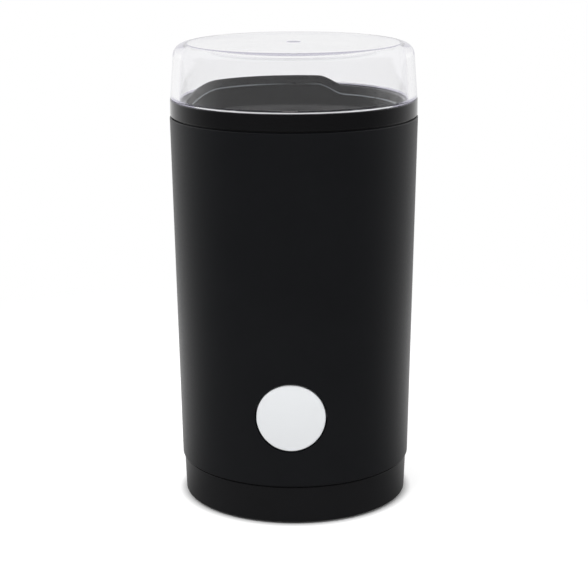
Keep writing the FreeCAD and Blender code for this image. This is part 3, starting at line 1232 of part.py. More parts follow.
def main():
    os.makedirs("parts", exist_ok=True)
    for make in NODES + [upper_bearing, lower_bearing]:
        shape = make()
        name = make.__name__
        if not shape.isValid() or not shape.Solids:
            print("warning:", name, "valid", shape.isValid(), "solids", len(shape.Solids))
        shape.exportStep(os.path.join("parts", name + ".step"))
        print(name, "solids", len(shape.Solids), "volume %.2f cm3" % (shape.Volume / 1000.0))


main()
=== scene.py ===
# %% [markdown]
# This lesson dresses an electric spice grinder: a tapered black body with a round white button, a glossy
# collar round the bowl, and a thick clear lid. The CAD parts arrive as a frame that never moves. New pieces
# are modelled over the parts that show, and every other part gets a finish of its own.

# %% The frame
import json
import math

import bmesh
import bpy
from mathutils import Matrix, Vector


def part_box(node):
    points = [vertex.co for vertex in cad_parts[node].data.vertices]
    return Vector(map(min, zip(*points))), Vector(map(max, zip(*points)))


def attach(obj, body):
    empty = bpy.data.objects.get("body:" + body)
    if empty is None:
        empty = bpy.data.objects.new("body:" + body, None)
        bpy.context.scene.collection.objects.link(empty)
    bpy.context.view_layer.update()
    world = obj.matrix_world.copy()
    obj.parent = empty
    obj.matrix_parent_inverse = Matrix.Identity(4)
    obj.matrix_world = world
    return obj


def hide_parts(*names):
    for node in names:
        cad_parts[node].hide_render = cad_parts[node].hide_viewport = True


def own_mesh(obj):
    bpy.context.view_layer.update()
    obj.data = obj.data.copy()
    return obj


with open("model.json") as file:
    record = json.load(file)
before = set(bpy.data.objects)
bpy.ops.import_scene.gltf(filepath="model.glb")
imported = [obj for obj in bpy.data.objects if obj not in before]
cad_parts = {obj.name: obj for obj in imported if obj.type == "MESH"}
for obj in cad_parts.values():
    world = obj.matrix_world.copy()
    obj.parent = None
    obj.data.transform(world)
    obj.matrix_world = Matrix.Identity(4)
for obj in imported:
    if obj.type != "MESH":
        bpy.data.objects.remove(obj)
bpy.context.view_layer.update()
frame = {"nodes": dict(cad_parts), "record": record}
print("parts in the frame:", len(frame["nodes"]))

# %% [markdown]
# Blender counts in metres and a kitchen appliance is drawn in millimetres, so one value turns the second into
# the first. The main sizes are read from the frame, so the new pieces always sit where the CAD parts are.

# %% Sizes read from the frame
MM = 0.001


def reach(node):
    """Lowest and highest corner of a CAD part, in millimetres."""
    low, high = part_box(node)
    return low / MM, high / MM


sleeve_low, sleeve_high = reach("main_housing")
base_low, base_high = reach("base_cover")
collar_low, collar_high = reach("bowl_collar")
bowl_low, bowl_high = reach("grinding_bowl")
lid_low, lid_high = reach("lid")
button_low, button_high = reach("push_button")

SLEEVE_Z0, SLEEVE_Z1 = sleeve_low.z, sleeve_high.z
SLEEVE_TOP_R = sleeve_high.x
SLEEVE_TAPER = 2.6
SLEEVE_BOTTOM_R = SLEEVE_TOP_R - SLEEVE_TAPER
SLEEVE_WALL = 2.4
SEAM_H = 0.6
BUTTON_Z = (button_low.z + button_high.z) / 2
print("sleeve from", round(SLEEVE_Z0, 2), "to", round(SLEEVE_Z1, 2), "mm, button at", round(BUTTON_Z, 2))


def sleeve_r(z):
    """Outer radius of the tapered sleeve at a height."""
    share = (z - SLEEVE_Z0) / (SLEEVE_Z1 - SLEEVE_Z0)
    return SLEEVE_BOTTOM_R + share * SLEEVE_TAPER


# %% [markdown]
# An operator acts on all that is selected, so each step starts from a clear selection. A finished mesh has
# its doubles merged and its faces turned outwards, and it is shaded smooth up to its sharp edges.

# %% Clean starts and clean ends
MERGE = 1e-6
SMOOTH_ANGLE = math.radians(32)


def deselect():
    """Leaves edit mode and clears the selection."""
    if bpy.context.mode != "OBJECT":
        bpy.ops.object.mode_set(mode="OBJECT")
    bpy.ops.object.select_all(action="DESELECT")


def open_for_editing(piece):
    """Makes a piece the only selected one and enters edit mode."""
    deselect()
    bpy.context.view_layer.objects.active = piece
    piece.select_set(True)
    bpy.ops.object.mode_set(mode="EDIT")


def tidy(piece):
    """Merges doubles, turns all faces outwards and shades the piece smooth up to its sharp edges."""
    if bpy.context.mode != "EDIT_MESH":
        open_for_editing(piece)
    bpy.ops.mesh.select_all(action="SELECT")
    bpy.ops.mesh.remove_doubles(threshold=MERGE)
    bpy.ops.mesh.normals_make_consistent(inside=False)
    bpy.ops.object.mode_set(mode="OBJECT")
    piece.select_set(True)
    bpy.ops.object.shade_smooth_by_angle(angle=SMOOTH_ANGLE)
    print(piece.name, "has", len(piece.data.polygons), "faces")


print("edges above", round(math.degrees(SMOOTH_ANGLE)), "degrees stay sharp")

# %% [markdown]
# Almost every shell of this grinder is round, as a moulder's tool for it would be turned on a lathe. By hand
# one would add a circle, extrude it upwards ring by ring and scale each ring to its radius. The helper below
# does just that for a list of radii and heights. Spinning an outline would do as well, but rings keep a clean
# grid of quads.

# %% A lathe made of circles
SEGMENTS = 192


def arc(centre_r, centre_z, radius, start, end, steps):
    """Points on a rounded corner of an outline, between two angles in degrees."""
    angles = [math.radians(start + (end - start) * i / steps) for i in range(steps + 1)]
    return [(centre_r + radius * math.cos(a), centre_z + radius * math.sin(a)) for a in angles]


def grow(radius, z, new_radius, new_z):
    """Extrudes the selected ring to a new height and radius, or to a closed tip where the radius is nil."""
    bpy.ops.mesh.extrude_edges_move(TRANSFORM_OT_translate={"value": (0, 0, (new_z - z) * MM)})
    if new_radius == 0:
        bpy.ops.mesh.merge(type="CENTER")
        return
    share = new_radius / radius
    bpy.ops.transform.resize(value=(share, share, 1), center_override=(0, 0, new_z * MM))


def turned(name, points, segments=SEGMENTS):
    """Turned piece with a closed outline of radii and heights, or one that starts and ends on the axis."""
    first = 1 if points[0][0] == 0 else 0
    on_axis = first == 1
    r, z = points[first]
    deselect()
    bpy.ops.mesh.primitive_circle_add(vertices=segments, radius=r * MM, location=(0, 0, z * MM))
    piece = bpy.context.object
    piece.name = name
    bpy.ops.object.transform_apply(location=True, rotation=True, scale=True)
    bpy.ops.object.mode_set(mode="EDIT")
    steps = list(points[first + 1:])
    if not on_axis:
        steps.append(points[0])
    for new_r, new_z in steps:
        grow(r, z, new_r, new_z)
        r, z = new_r, new_z
    if on_axis:
        bpy.ops.mesh.select_all(action="DESELECT")
        bpy.ops.mesh.select_non_manifold()
        grow(points[1][0], points[1][1], 0, points[0][1])
    tidy(piece)
    return piece


print("a turned piece has", SEGMENTS, "segments unless it needs more or fewer")

# %% [markdown]
# The housing is one moulded sleeve that widens towards the top, with a round window for the button. A Boolean
# cut would leave long triangles that show in a satin surface. Instead a square patch of the grid is deleted,
# a circle with as many points is bridged to it, and the new points are moved out to the cone. The same is
# done on the inner wall for the button's guide, and the two circles are joined behind the window.

# %% Outline of the sleeve
SLEEVE_EDGE = 0.5
APERTURE_R = 13.65
GUIDE_R = 15.45
GUIDE_DEPTH = 9.0
GUIDE_END_Y = GUIDE_DEPTH - SLEEVE_BOTTOM_R
PATCH_COLUMNS = 13
PATCH_HALF = 18.0
ROWS_ABOVE = 12
ROWS_BELOW = 4
CORNER_STEPS = 4


def sleeve_rows():
    """Heights of the grid's rows: even beside the window and wider apart above and below it."""
    patch = [BUTTON_Z - PATCH_HALF + i * PATCH_HALF / PATCH_COLUMNS for i in range(2 * PATCH_COLUMNS + 1)]
    low, high = SLEEVE_Z0 + SLEEVE_EDGE, SLEEVE_Z1 - SLEEVE_EDGE
    above = [patch[-1] + (high - patch[-1]) * i / ROWS_ABOVE for i in range(1, ROWS_ABOVE)]
    below = [low + (patch[0] - low) * i / ROWS_BELOW for i in range(1, ROWS_BELOW)]
    return below + patch + above


def sleeve_outline():
    """Outer and inner wall of the sleeve, from its foot upwards and down again inside."""
    rows = sleeve_rows()
    e = SLEEVE_EDGE
    foot = arc(SLEEVE_BOTTOM_R - e, SLEEVE_Z0 + e, e, -90, 0, CORNER_STEPS)
    head = arc(SLEEVE_TOP_R - e, SLEEVE_Z1 - e, e, 0, 90, CORNER_STEPS)
    outer = [(sleeve_r(z), z) for z in rows]
    inner = [(sleeve_r(z) - SLEEVE_WALL, z) for z in reversed(rows)]
    rim = [(SLEEVE_TOP_R - SLEEVE_WALL, SLEEVE_Z1)]
    hem = [(SLEEVE_BOTTOM_R - SLEEVE_WALL, SLEEVE_Z0)]
    return foot + outer + head + rim + inner + hem


sleeve = turned("sleeve", sleeve_outline())

# %% [markdown]
# The window's patch is found by its place: the faces in front of the axis, near the button, on the outer or
# the inner wall. In edit mode one would pick them with a box; in code a test of each face's corners does
# that.

# %% Faces behind the window
PATCH_ANGLE = math.radians((PATCH_COLUMNS + 0.1) * 360 / SEGMENTS)
ON_WALL = 0.2
ON_CIRCLE = 0.02


def wall_at(x, z, depth):
    """How far in front of the axis a wall of the sleeve lies, at a place and a depth below its surface."""
    r = sleeve_r(z) - depth
    return -math.sqrt(r * r - x * x)


def in_patch(points, depth):
    """True for faces of one wall that lie in the window's square patch."""
    for p in points:
        off_wall = abs(math.hypot(p.x, p.y) - (sleeve_r(p.z) - depth))
        if off_wall > ON_WALL or p.y > 0 or abs(p.z - BUTTON_Z) > PATCH_HALF + 0.1:
            return False
        if abs(math.atan2(p.x, -p.y)) > PATCH_ANGLE:
            return False
    return True


def on_ring(points, radius):
    """True for an edge on a circle of a radius round the button's axis."""
    return all(abs(math.hypot(p.x, p.z - BUTTON_Z) - radius) < ON_CIRCLE for p in points)


def select_where(piece, kind, test):
    """Selects the edges or faces of a piece in edit mode whose corners, in millimetres, pass a test."""
    mesh = bmesh.from_edit_mesh(piece.data)
    bpy.ops.mesh.select_mode(type="FACE" if kind == "faces" else "EDGE")
    bpy.ops.mesh.select_all(action="DESELECT")
    chosen = 0
    for part in getattr(mesh, kind):
        points = [v.co / MM for v in part.verts]
        if test(points):
            part.select_set(True)
            chosen += 1
    bmesh.update_edit_mesh(piece.data)
    return chosen


def move_to_wall(piece, depth, test=lambda p: True):
    """Moves the selected points that pass a test straight forwards or back to a wall of the sleeve."""
    mesh = bmesh.from_edit_mesh(piece.data)
    for v in mesh.verts:
        p = v.co / MM
        if v.select and test(p):
            v.co.y = wall_at(p.x, p.z, depth) * MM
    bmesh.update_edit_mesh(piece.data)


def select_open_edges(piece):
    """Selects the edges that have fewer than two faces."""
    mesh = bmesh.from_edit_mesh(piece.data)
    for edge in mesh.edges:
        if len(edge.link_faces) < 2:
            edge.select_set(True)
    bmesh.update_edit_mesh(piece.data)


print("the window replaces a patch of", 2 * PATCH_COLUMNS, "by", 2 * PATCH_COLUMNS, "faces")

# %% [markdown]
# Bridge Edge Loops with cuts gives the rows between the square hole and the circle. The new rows lie on
# straight lines, so each of their points is moved out to the cone. The circle's edge is then extruded back
# into the sleeve, which gives the window its depth.

# %% The window for the button
WINDOW_ROWS = 5
ROW_REACH = 2.28
DRAW_IN = 4.0

open_for_editing(sleeve)
patch_faces = select_where(sleeve, "faces", lambda points: in_patch(points, 0.0))
bpy.ops.mesh.delete(type="FACE")
bpy.ops.mesh.select_mode(type="EDGE")
bpy.ops.mesh.primitive_circle_add(vertices=8 * PATCH_COLUMNS, radius=APERTURE_R * MM,
                                  location=(0, -sleeve_r(BUTTON_Z) * MM, BUTTON_Z * MM),
                                  rotation=(math.pi / 2, 0, 0))
bpy.ops.mesh.select_all(action="DESELECT")
select_open_edges(sleeve)
bpy.ops.mesh.bridge_edge_loops(number_cuts=WINDOW_ROWS, interpolation="LINEAR")
move_to_wall(sleeve, 0.0, lambda p: p.y < 0 and abs(math.hypot(p.x, p.y) - sleeve_r(p.z)) < ROW_REACH)
select_where(sleeve, "edges", lambda points: on_ring(points, APERTURE_R))
bpy.ops.mesh.extrude_edges_move(TRANSFORM_OT_translate={"value": (0, DRAW_IN * MM, 0)})
bpy.ops.transform.resize(value=(1, 0, 1), center_override=(0, GUIDE_END_Y * MM, BUTTON_Z * MM))
print("window of", APERTURE_R, "mm in place of", patch_faces, "faces")

# %% [markdown]
# Behind the window stands the guide, a short tube that the button slides in. Its inner edge is widened to the
# tube's outer radius, extruded forwards to the inner wall, and bridged to a square hole there. At last the
# window's front edge gets a fine round, as a moulded edge has.

# %% The guide behind the window
GUIDE_ROWS = 2
RIM_ROUND = 0.35

open_for_editing(sleeve)
guide_mouth = select_where(sleeve, "edges", lambda points: on_ring(points, APERTURE_R) and all(
    abs(p.y - GUIDE_END_Y) < 0.01 for p in points))
bpy.ops.mesh.extrude_edges_move(TRANSFORM_OT_translate={"value": (0, 0, 0)})
widen = GUIDE_R / APERTURE_R
bpy.ops.transform.resize(value=(widen, 1, widen), center_override=(0, GUIDE_END_Y * MM, BUTTON_Z * MM))
bpy.ops.mesh.extrude_edges_move(TRANSFORM_OT_translate={"value": (0, -DRAW_IN * MM, 0)})
move_to_wall(sleeve, SLEEVE_WALL)
select_where(sleeve, "faces", lambda points: in_patch(points, SLEEVE_WALL))
bpy.ops.mesh.delete(type="FACE")
bpy.ops.mesh.select_mode(type="EDGE")
bpy.ops.mesh.select_all(action="DESELECT")
select_open_edges(sleeve)
bpy.ops.mesh.bridge_edge_loops(number_cuts=GUIDE_ROWS, interpolation="LINEAR")
move_to_wall(sleeve, SLEEVE_WALL, lambda p: p.y > wall_at(p.x, p.z, SLEEVE_WALL / 2))
select_where(sleeve, "edges", lambda points: on_ring(points, APERTURE_R) and all(
    p.y < GUIDE_END_Y - DRAW_IN for p in points))
bpy.ops.mesh.bevel(offset=RIM_ROUND * MM, segments=3, profile=0.5)
tidy(sleeve)
print("guide's mouth has", guide_mouth, "edges")

# %% [markdown]
# Blocks and pins are added at their size and place, and a Boolean modifier joins them or cuts with them. Its
# solver works best on meshes some units wide, so they are enlarged from metres to millimetres while it runs.

# %% Pins, blocks and cuts
def cut(piece, cutters, operation="DIFFERENCE"):
    """Cuts or adds other meshes with a Boolean modifier, enlarged to the size such solvers expect."""
    enlarge = Matrix.Scale(1 / MM, 4)
    piece.data.transform(enlarge)
    for cutter in cutters:
        cutter.data.transform(enlarge)
        deselect()
        bpy.context.view_layer.objects.active = piece
        modifier = piece.modifiers.new("cut", "BOOLEAN")
        modifier.operation = operation
        modifier.solver = "MANIFOLD"
        modifier.object = cutter
        bpy.ops.object.modifier_apply(modifier=modifier.name)
        bpy.data.objects.remove(cutter)
    piece.data.transform(enlarge.inverted())


def cube(low, high):
    """Block between two corners in millimetres."""
    deselect()
    middle = [(a + b) / 2 * MM for a, b in zip(low, high)]
    size = [(b - a) * MM for a, b in zip(low, high)]
    bpy.ops.mesh.primitive_cube_add(size=1, location=middle, scale=size)
    bpy.ops.object.transform_apply(location=True, rotation=True, scale=True)
    return bpy.context.object


def peg(radius, z0, z1, x, y, segments=48):
    """Upright pin between two heights, in millimetres."""
    deselect()
    place = (x * MM, y * MM, (z0 + z1) / 2 * MM)
    bpy.ops.mesh.primitive_cylinder_add(vertices=segments, radius=radius * MM, depth=(z1 - z0) * MM,
                                        location=place)
    bpy.ops.object.transform_apply(location=True, rotation=True, scale=True)
    return bpy.context.object


print("the Boolean works at", round(1 / MM), "times the size")

# %% [markdown]
# What repeats round the axis is modelled once and copied, each copy with its own mesh. A turn is applied to
# the mesh, so that every object stays at the origin, unturned.

# %% Copies round the axis
def turn_z(piece, degrees):
    """Turns a piece about the grinder's axis and keeps its place in its mesh."""
    piece.data.transform(Matrix.Rotation(math.radians(degrees), 4, "Z"))


def copy_of(piece):
    """Copy of a piece with its own mesh."""
    twin = piece.copy()
    twin.data = piece.data.copy()
    bpy.context.scene.collection.objects.link(twin)
    return twin


def joined(name, pieces):
    """Joins several meshes into one named piece."""
    deselect()
    for piece in pieces:
        piece.select_set(True)
    bpy.context.view_layer.objects.active = pieces[0]
    bpy.ops.object.join()
    whole = bpy.context.object
    whole.name = name
    return whole


def round_the_axis(piece, count):
    """A piece and its copies, evenly spaced round the grinder's axis."""
    whole = [piece]
    for i in range(1, count):
        twin = copy_of(piece)
        turn_z(twin, i * 360 / count)
        whole.append(twin)
    return whole


# %% [markdown]
# Inside the sleeve four bosses take the base cover's screws. They never show, but they hold the screws where
# the real ones are. One boss is made from a cylinder and a rib, and copied round the axis.

# %% Screw bosses
BOSS_R = 4.0
BOSS_Z0 = SLEEVE_Z0 + 1.5
BOSS_Z1 = SLEEVE_Z0 + 20.0
BOSS_RING = 36.0
BOSS_BORE = 1.5
BOSS_CAP = 2.0
BOSS_TURN = 45
RIB_HALF = 1.2
RIB_Z0 = SLEEVE_Z0 + 5.3
FASTENERS = 4
PAST = 1.0

barrel = peg(BOSS_R, BOSS_Z0, BOSS_Z1, BOSS_RING, 0)
rib = cube((BOSS_RING, -RIB_HALF, RIB_Z0), (SLEEVE_BOTTOM_R - SLEEVE_WALL / 2, RIB_HALF, BOSS_Z1))
cut(barrel, [rib], "UNION")
cut(barrel, [peg(BOSS_BORE, BOSS_Z0 - PAST, BOSS_Z1 - BOSS_CAP, BOSS_RING, 0)])
turn_z(barrel, BOSS_TURN)
screw_bosses = joined("screw_bosses", round_the_axis(barrel, FASTENERS))
tidy(screw_bosses)

# %% [markdown]
# The base cover is a shallow cup that closes the housing. Its wall leans in by half a millimetre and rolls
# under with a soft edge. The floor has a ring of vents, recesses for the feet and deep holes for the screws.
# On a flat floor a Boolean cut leaves no marks, so the openings are cut that way.

# %% The base cover's shell
SEAM_LAND = 0.9
BASE_Z0 = base_low.z
BASE_TOP_R = base_high.x
BASE_TAPER = 0.5
BASE_BOTTOM_R = BASE_TOP_R - BASE_TAPER
BASE_Z1 = SLEEVE_Z0 - SEAM_H
BASE_EDGE = 0.8
BASE_RIM = 0.3
BASE_WALL = 2.4
BASE_STEP_H = 4.0
FLOOR_T = 2.2
FLOOR_R = 20.0
SPIGOT_R = SLEEVE_BOTTOM_R - SLEEVE_WALL - 0.2
SPIGOT_WALL = 1.8
seam_r = BASE_TOP_R - SEAM_LAND / 2
spigot_inner = SPIGOT_R - SPIGOT_WALL
base_inner = BASE_BOTTOM_R - BASE_WALL
floor_z1 = BASE_Z0 + FLOOR_T
base_cover = turned("base_shell", [(0, BASE_Z0), (FLOOR_R, BASE_Z0)]
                    + arc(BASE_BOTTOM_R - BASE_EDGE, BASE_Z0 + BASE_EDGE, BASE_EDGE, -90, 0, 8)
                    + arc(BASE_TOP_R - BASE_RIM, BASE_Z1 - BASE_RIM, BASE_RIM, 0, 90, 3)
                    + [(seam_r, BASE_Z1), (seam_r, SLEEVE_Z0), (SPIGOT_R, SLEEVE_Z0), (SPIGOT_R, base_high.z),
                       (spigot_inner, base_high.z), (spigot_inner, BASE_Z1 - BASE_STEP_H),
                       (base_inner, BASE_Z1 - BASE_STEP_H), (base_inner, floor_z1), (0, floor_z1)])

# %% [markdown]
# The floor's openings are one mesh of cutters: a ring of vents with round ends, the recesses for the feet,
# and the stepped holes that sink the screws' heads.

# %% Openings of the floor
FOOT_R = 5.0
FOOT_FIT = 0.2
FOOT_RECESS = 1.0
FOOT_RING = BASE_BOTTOM_R - 10.0
FOOT_COUNT = 4
VENT_HALF = 1.1
VENT_R0 = 11.1
VENT_R1 = 22.9
VENT_COUNT = 16
HEAD_ROOM_R = 3.0
HEAD_WALL = 3.0
SHANK_R = 1.65

below_floor, above_floor = BASE_Z0 - PAST, floor_z1 + PAST
vent = cube((VENT_R0, -VENT_HALF, below_floor), (VENT_R1, VENT_HALF, above_floor))
cut(vent, [peg(VENT_HALF, below_floor, above_floor, r, 0, 24) for r in (VENT_R0, VENT_R1)], "UNION")
recess = peg(FOOT_R + FOOT_FIT, below_floor, BASE_Z0 + FOOT_RECESS, FOOT_RING, 0, 64)
floor_openings = joined("floor_openings",
                        round_the_axis(vent, VENT_COUNT) + round_the_axis(recess, FOOT_COUNT))
hole = peg(HEAD_ROOM_R, below_floor, BOSS_Z0 - HEAD_WALL, BOSS_RING, 0)
cut(hole, [peg(SHANK_R, BOSS_Z0 - HEAD_WALL - PAST, BOSS_Z0 + PAST, BOSS_RING, 0)], "UNION")
turn_z(hole, BOSS_TURN)
screw_holes = joined("screw_holes", round_the_axis(hole, FASTENERS))
print("floor openings:", VENT_COUNT, "vents,", FOOT_COUNT, "feet and", FASTENERS, "screws")

# %% [markdown]
# The posts that carry the screws are added first, so that the holes also pass through them. The last cut is
# the round hole at the back for the cord's inlet.

# %% Posts, openings and the cord's inlet
GLAND_Z = BASE_Z0 + 8.0
GLAND_NECK_R = 4.35
GLAND_FROM_Y = 37.0
GLAND_CUT_L = 12.0

post = peg(BOSS_R, BASE_Z0 + PAST, BOSS_Z0, BOSS_RING, 0)
turn_z(post, BOSS_TURN)
cut(base_cover, [joined("posts", round_the_axis(post, FASTENERS))], "UNION")
gland_hole = peg(GLAND_NECK_R, 0, GLAND_CUT_L, 0, 0)
gland_hole.data.transform(Matrix.Translation((0, GLAND_FROM_Y * MM, GLAND_Z * MM))
                          @ Matrix.Rotation(math.radians(-90), 4, "X"))
cut(base_cover, [screw_holes, floor_openings, gland_hole])
tidy(base_cover)

# %% [markdown]
# Four rubber feet sit in the recesses. Each is a turned disc with a rolled edge and a shallow dish
# underneath, as moulded feet have.

# %% Rubber feet
FOOT_EDGE = 0.3
DISH_R0 = 2.6
DISH_R1 = 3.2
DISH_H = 0.25
FOOT_FLAT_R = FOOT_R - 0.8
FOOT_Z1 = BASE_Z0 + FOOT_RECESS
foot = turned("foot", [(0, DISH_H), (DISH_R0, DISH_H), (DISH_R1, 0.0), (FOOT_FLAT_R, 0.0)]
              + arc(FOOT_R - FOOT_EDGE, FOOT_EDGE, FOOT_EDGE, -90, 0, 5) + [(FOOT_R, FOOT_Z1), (0, FOOT_Z1)],
              segments=48)
foot.data.transform(Matrix.Translation((FOOT_RING * MM, 0, 0)))
rubber_feet = joined("feet", round_the_axis(foot, FOOT_COUNT))
print("feet stand from 0 to", round(FOOT_Z1, 2), "mm")

# %% [markdown]
# The collar is the most intricate shell. From outside in it has a glossy ring that carries the lid, a groove
# for the lid's skirt, and the splash guard, a thin wall that flares outwards at its top. The guard stands
# high at the back, low at the front and right, and has a small tab in front over the lid's lock. It is turned
# at full height first, and then each point above the groove is lowered by what the height at its azimuth
# asks.

# %% Sizes of the collar
COLLAR_R = collar_high.x
COLLAR_Z0 = SLEEVE_Z1 + SEAM_H
COLLAR_H = 6.3
COLLAR_Z1 = COLLAR_Z0 + COLLAR_H
COLLAR_EDGE = 0.4
COLLAR_HEM = 0.3
RING_W = 2.4
GROOVE_W = 2.9
GROOVE_EDGE = 0.2
GROOVE_R1 = COLLAR_R - RING_W
GUARD_OUTER_R = GROOVE_R1 - GROOVE_W
GUARD_WALL = 1.2
GUARD_R = GUARD_OUTER_R - GUARD_WALL
WEB_Z1 = SLEEVE_Z1 + 2.6
FLARE_H = 3.6
FLARE_OUT = 1.0
BEND_HALF = 0.5
BEND_SWELL = 0.07
LIP = 0.35
LEDGE = 0.42
LEDGE_ROW = 0.4
LEDGE_SWELL = 0.1
FUNNEL_R = GUARD_R - 2.6
FUNNEL_Z0 = bowl_high.z + 0.8
FUNNEL_EDGE_H = 0.6
FUNNEL_H = 2.7
COLLAR_SPIGOT_R = sleeve_r(collar_low.z) - SLEEVE_WALL - 0.2
COLLAR_SPIGOT_WALL = 1.6
BACK_TOP = collar_high.z
print("groove from", round(GUARD_OUTER_R, 2), "to", round(GROOVE_R1, 2), "mm, guard", GUARD_WALL, "mm thick")

# %% [markdown]
# The outline is one closed line in three parts. It needs many segments, because the short ramps beside the
# tab would else look stepped.

# %% Outline of the collar
COLLAR_SEGMENTS = 720


def funnel_and_spigot():
    """From the funnel over the bowl's rim, round the spigot in the sleeve, to the seam."""
    inner_r = COLLAR_SPIGOT_R - COLLAR_SPIGOT_WALL
    return [(GUARD_R, FUNNEL_Z0 + FUNNEL_H), (FUNNEL_R, FUNNEL_Z0 + FUNNEL_EDGE_H), (FUNNEL_R, FUNNEL_Z0),
            (GUARD_OUTER_R, FUNNEL_Z0), (GUARD_OUTER_R, SLEEVE_Z1), (inner_r, SLEEVE_Z1),
            (inner_r, collar_low.z), (COLLAR_SPIGOT_R, collar_low.z), (COLLAR_SPIGOT_R, SLEEVE_Z1),
            (COLLAR_R - SEAM_LAND, SLEEVE_Z1), (COLLAR_R - SEAM_LAND, COLLAR_Z0)]


def glossy_ring():
    """The ring's hem, its outer edge and the edge of the groove."""
    hem, edge, inner = COLLAR_HEM, COLLAR_EDGE, GROOVE_EDGE
    return (arc(COLLAR_R - hem, COLLAR_Z0 + hem, hem, -90, 0, 3)
            + arc(COLLAR_R - edge, COLLAR_Z1 - edge, edge, 0, 90, 5)
            + arc(GROOVE_R1 + inner, COLLAR_Z1 - inner, inner, 90, 180, 3)
            + [(GROOVE_R1, WEB_Z1), (GUARD_OUTER_R, WEB_Z1)])


def guard_wall():
    """The splash guard: its outside, its rounded lip and its inside with the ledge at the bend."""
    bend = BACK_TOP - FLARE_H
    lip_z = BACK_TOP - LIP
    return ([(GUARD_OUTER_R, WEB_Z1 + 0.6), (GUARD_OUTER_R, bend - BEND_HALF),
             (GUARD_OUTER_R + BEND_SWELL, bend + BEND_HALF)]
            + arc(GUARD_OUTER_R + FLARE_OUT - LIP, lip_z, LIP, 0, 90, 4)
            + arc(GUARD_R + FLARE_OUT + LIP, lip_z, LIP, 90, 180, 4)
            + [(GUARD_R + LEDGE + LEDGE_SWELL, bend + LEDGE + LEDGE_ROW), (GUARD_R + LEDGE, bend + LEDGE),
               (GUARD_R, bend), (GUARD_R, bend - LEDGE_ROW), (GUARD_R, WEB_Z1)])


collar = turned("collar", funnel_and_spigot() + glossy_ring() + guard_wall(), segments=COLLAR_SEGMENTS)

# %% [markdown]
# Between two heights the guard's rim follows a soft S, which an ease curve gives. The azimuth is counted from
# the right hand side, seen from above, so the back is at ninety degrees and the tab at two hundred and
# seventy.

# %% Height of the splash guard
SIDE_TOP = COLLAR_Z1 - 0.3
FRONT_TOP = COLLAR_Z1 - 1.7
TAB_TOP = COLLAR_Z1 + 0.7
LOWERED_FROM = WEB_Z1 + 1.0
RAMPS = [(62, 78, SIDE_TOP, BACK_TOP), (138, 184, BACK_TOP, FRONT_TOP), (257.5, 259.5, FRONT_TOP, TAB_TOP),
         (280.5, 282.5, TAB_TOP, FRONT_TOP), (345, 355, FRONT_TOP, SIDE_TOP)]


def guard_top(azimuth):
    """Height of the guard's rim at an azimuth in degrees."""
    height = SIDE_TOP
    for start, end, before, after in RAMPS:
        if azimuth < start:
            return height
        if azimuth < end:
            share = (azimuth - start) / (end - start)
            return before + (after - before) * share * share * (3 - 2 * share)
        height = after
    return height


def azimuth_of(p):
    """Azimuth of a point round the grinder's axis, in degrees from nil to a full turn."""
    return math.degrees(math.atan2(p.y, p.x)) % 360


for v in collar.data.vertices:
    p = v.co / MM
    in_wall = GUARD_R - 0.01 <= math.hypot(p.x, p.y) <= GUARD_OUTER_R + FLARE_OUT + 0.01
    if in_wall and p.z > LOWERED_FROM:
        v.co.z -= (BACK_TOP - guard_top(azimuth_of(p))) * MM
print("guard's rim from", round(FRONT_TOP, 1), "to", round(BACK_TOP, 1), "mm")

# %% [markdown]
# Two openings are left: a slanted slit in the guard that lets powder back into the bowl, and the notch where
# the lid's lock rod passes the groove.

# %% Slit and notch in the collar
SLIT_W = 0.9
SLIT_AZIMUTH = 38.0
SLIT_LEAN = -22.0
SLIT_R0 = GUARD_R - 1.2
SLIT_R1 = GUARD_OUTER_R + 2.2
NOTCH_HALF = 3.7
NOTCH_D = 1.8
NOTCH_Z1 = WEB_Z1 + 0.2

slit = cube((SLIT_R0, -SLIT_W / 2, -SLIT_W), (SLIT_R1, SLIT_W / 2, 2 * FLARE_H))
slit_place = (Matrix.Rotation(math.radians(SLIT_AZIMUTH), 4, "Z")
              @ Matrix.Translation((0, 0, (SIDE_TOP - FLARE_H) * MM))
              @ Matrix.Rotation(math.radians(SLIT_LEAN), 4, "X"))
slit.data.transform(slit_place)
notch = cube((-NOTCH_HALF, -GROOVE_R1, collar_low.z - PAST), (NOTCH_HALF, -GROOVE_R1 + NOTCH_D, NOTCH_Z1))
cut(collar, [slit, notch])
tidy(collar)

# %% [markdown]
# Where the guard's wall starts to flare, its bend catches light as a lighter line, most at the sides.
# This highlight is painted: an attribute marks the faces of that bend, and the collar's finish reads it
# later.

# %% Painted highlight on the guard
# the painted highlight reaches its full strength this far to either side of the middle, in millimetres
HIGHLIGHT_FULL_AT = 20.0


def on_bend(p):
    """True for a point on the guard's bend."""
    outside = math.hypot(p.x, p.y) - GUARD_R
    above = p.z - (guard_top(azimuth_of(p)) - FLARE_H)
    return -0.02 < outside < LEDGE + 0.02 and -0.1 < above < LEDGE + 0.1


# painted highlight: the bend's faces get a mark that lightens their colour, stronger towards the sides
highlight_mark = collar.data.attributes.new("painted_highlight", "FLOAT", "FACE")
for face in collar.data.polygons:
    points = [collar.data.vertices[i].co / MM for i in face.vertices]
    if all(on_bend(p) for p in points):
        highlight_mark.data[face.index].value = min(abs(points[0].x) / HIGHLIGHT_FULL_AT, 1.0)
print("light faces on the guard:", sum(1 for mark in highlight_mark.data if mark.value > 0))

# %% [markdown]
# The bowl is deep-drawn from one sheet: a flat rim, a small lip, straight walls and a wide round at the
# floor.

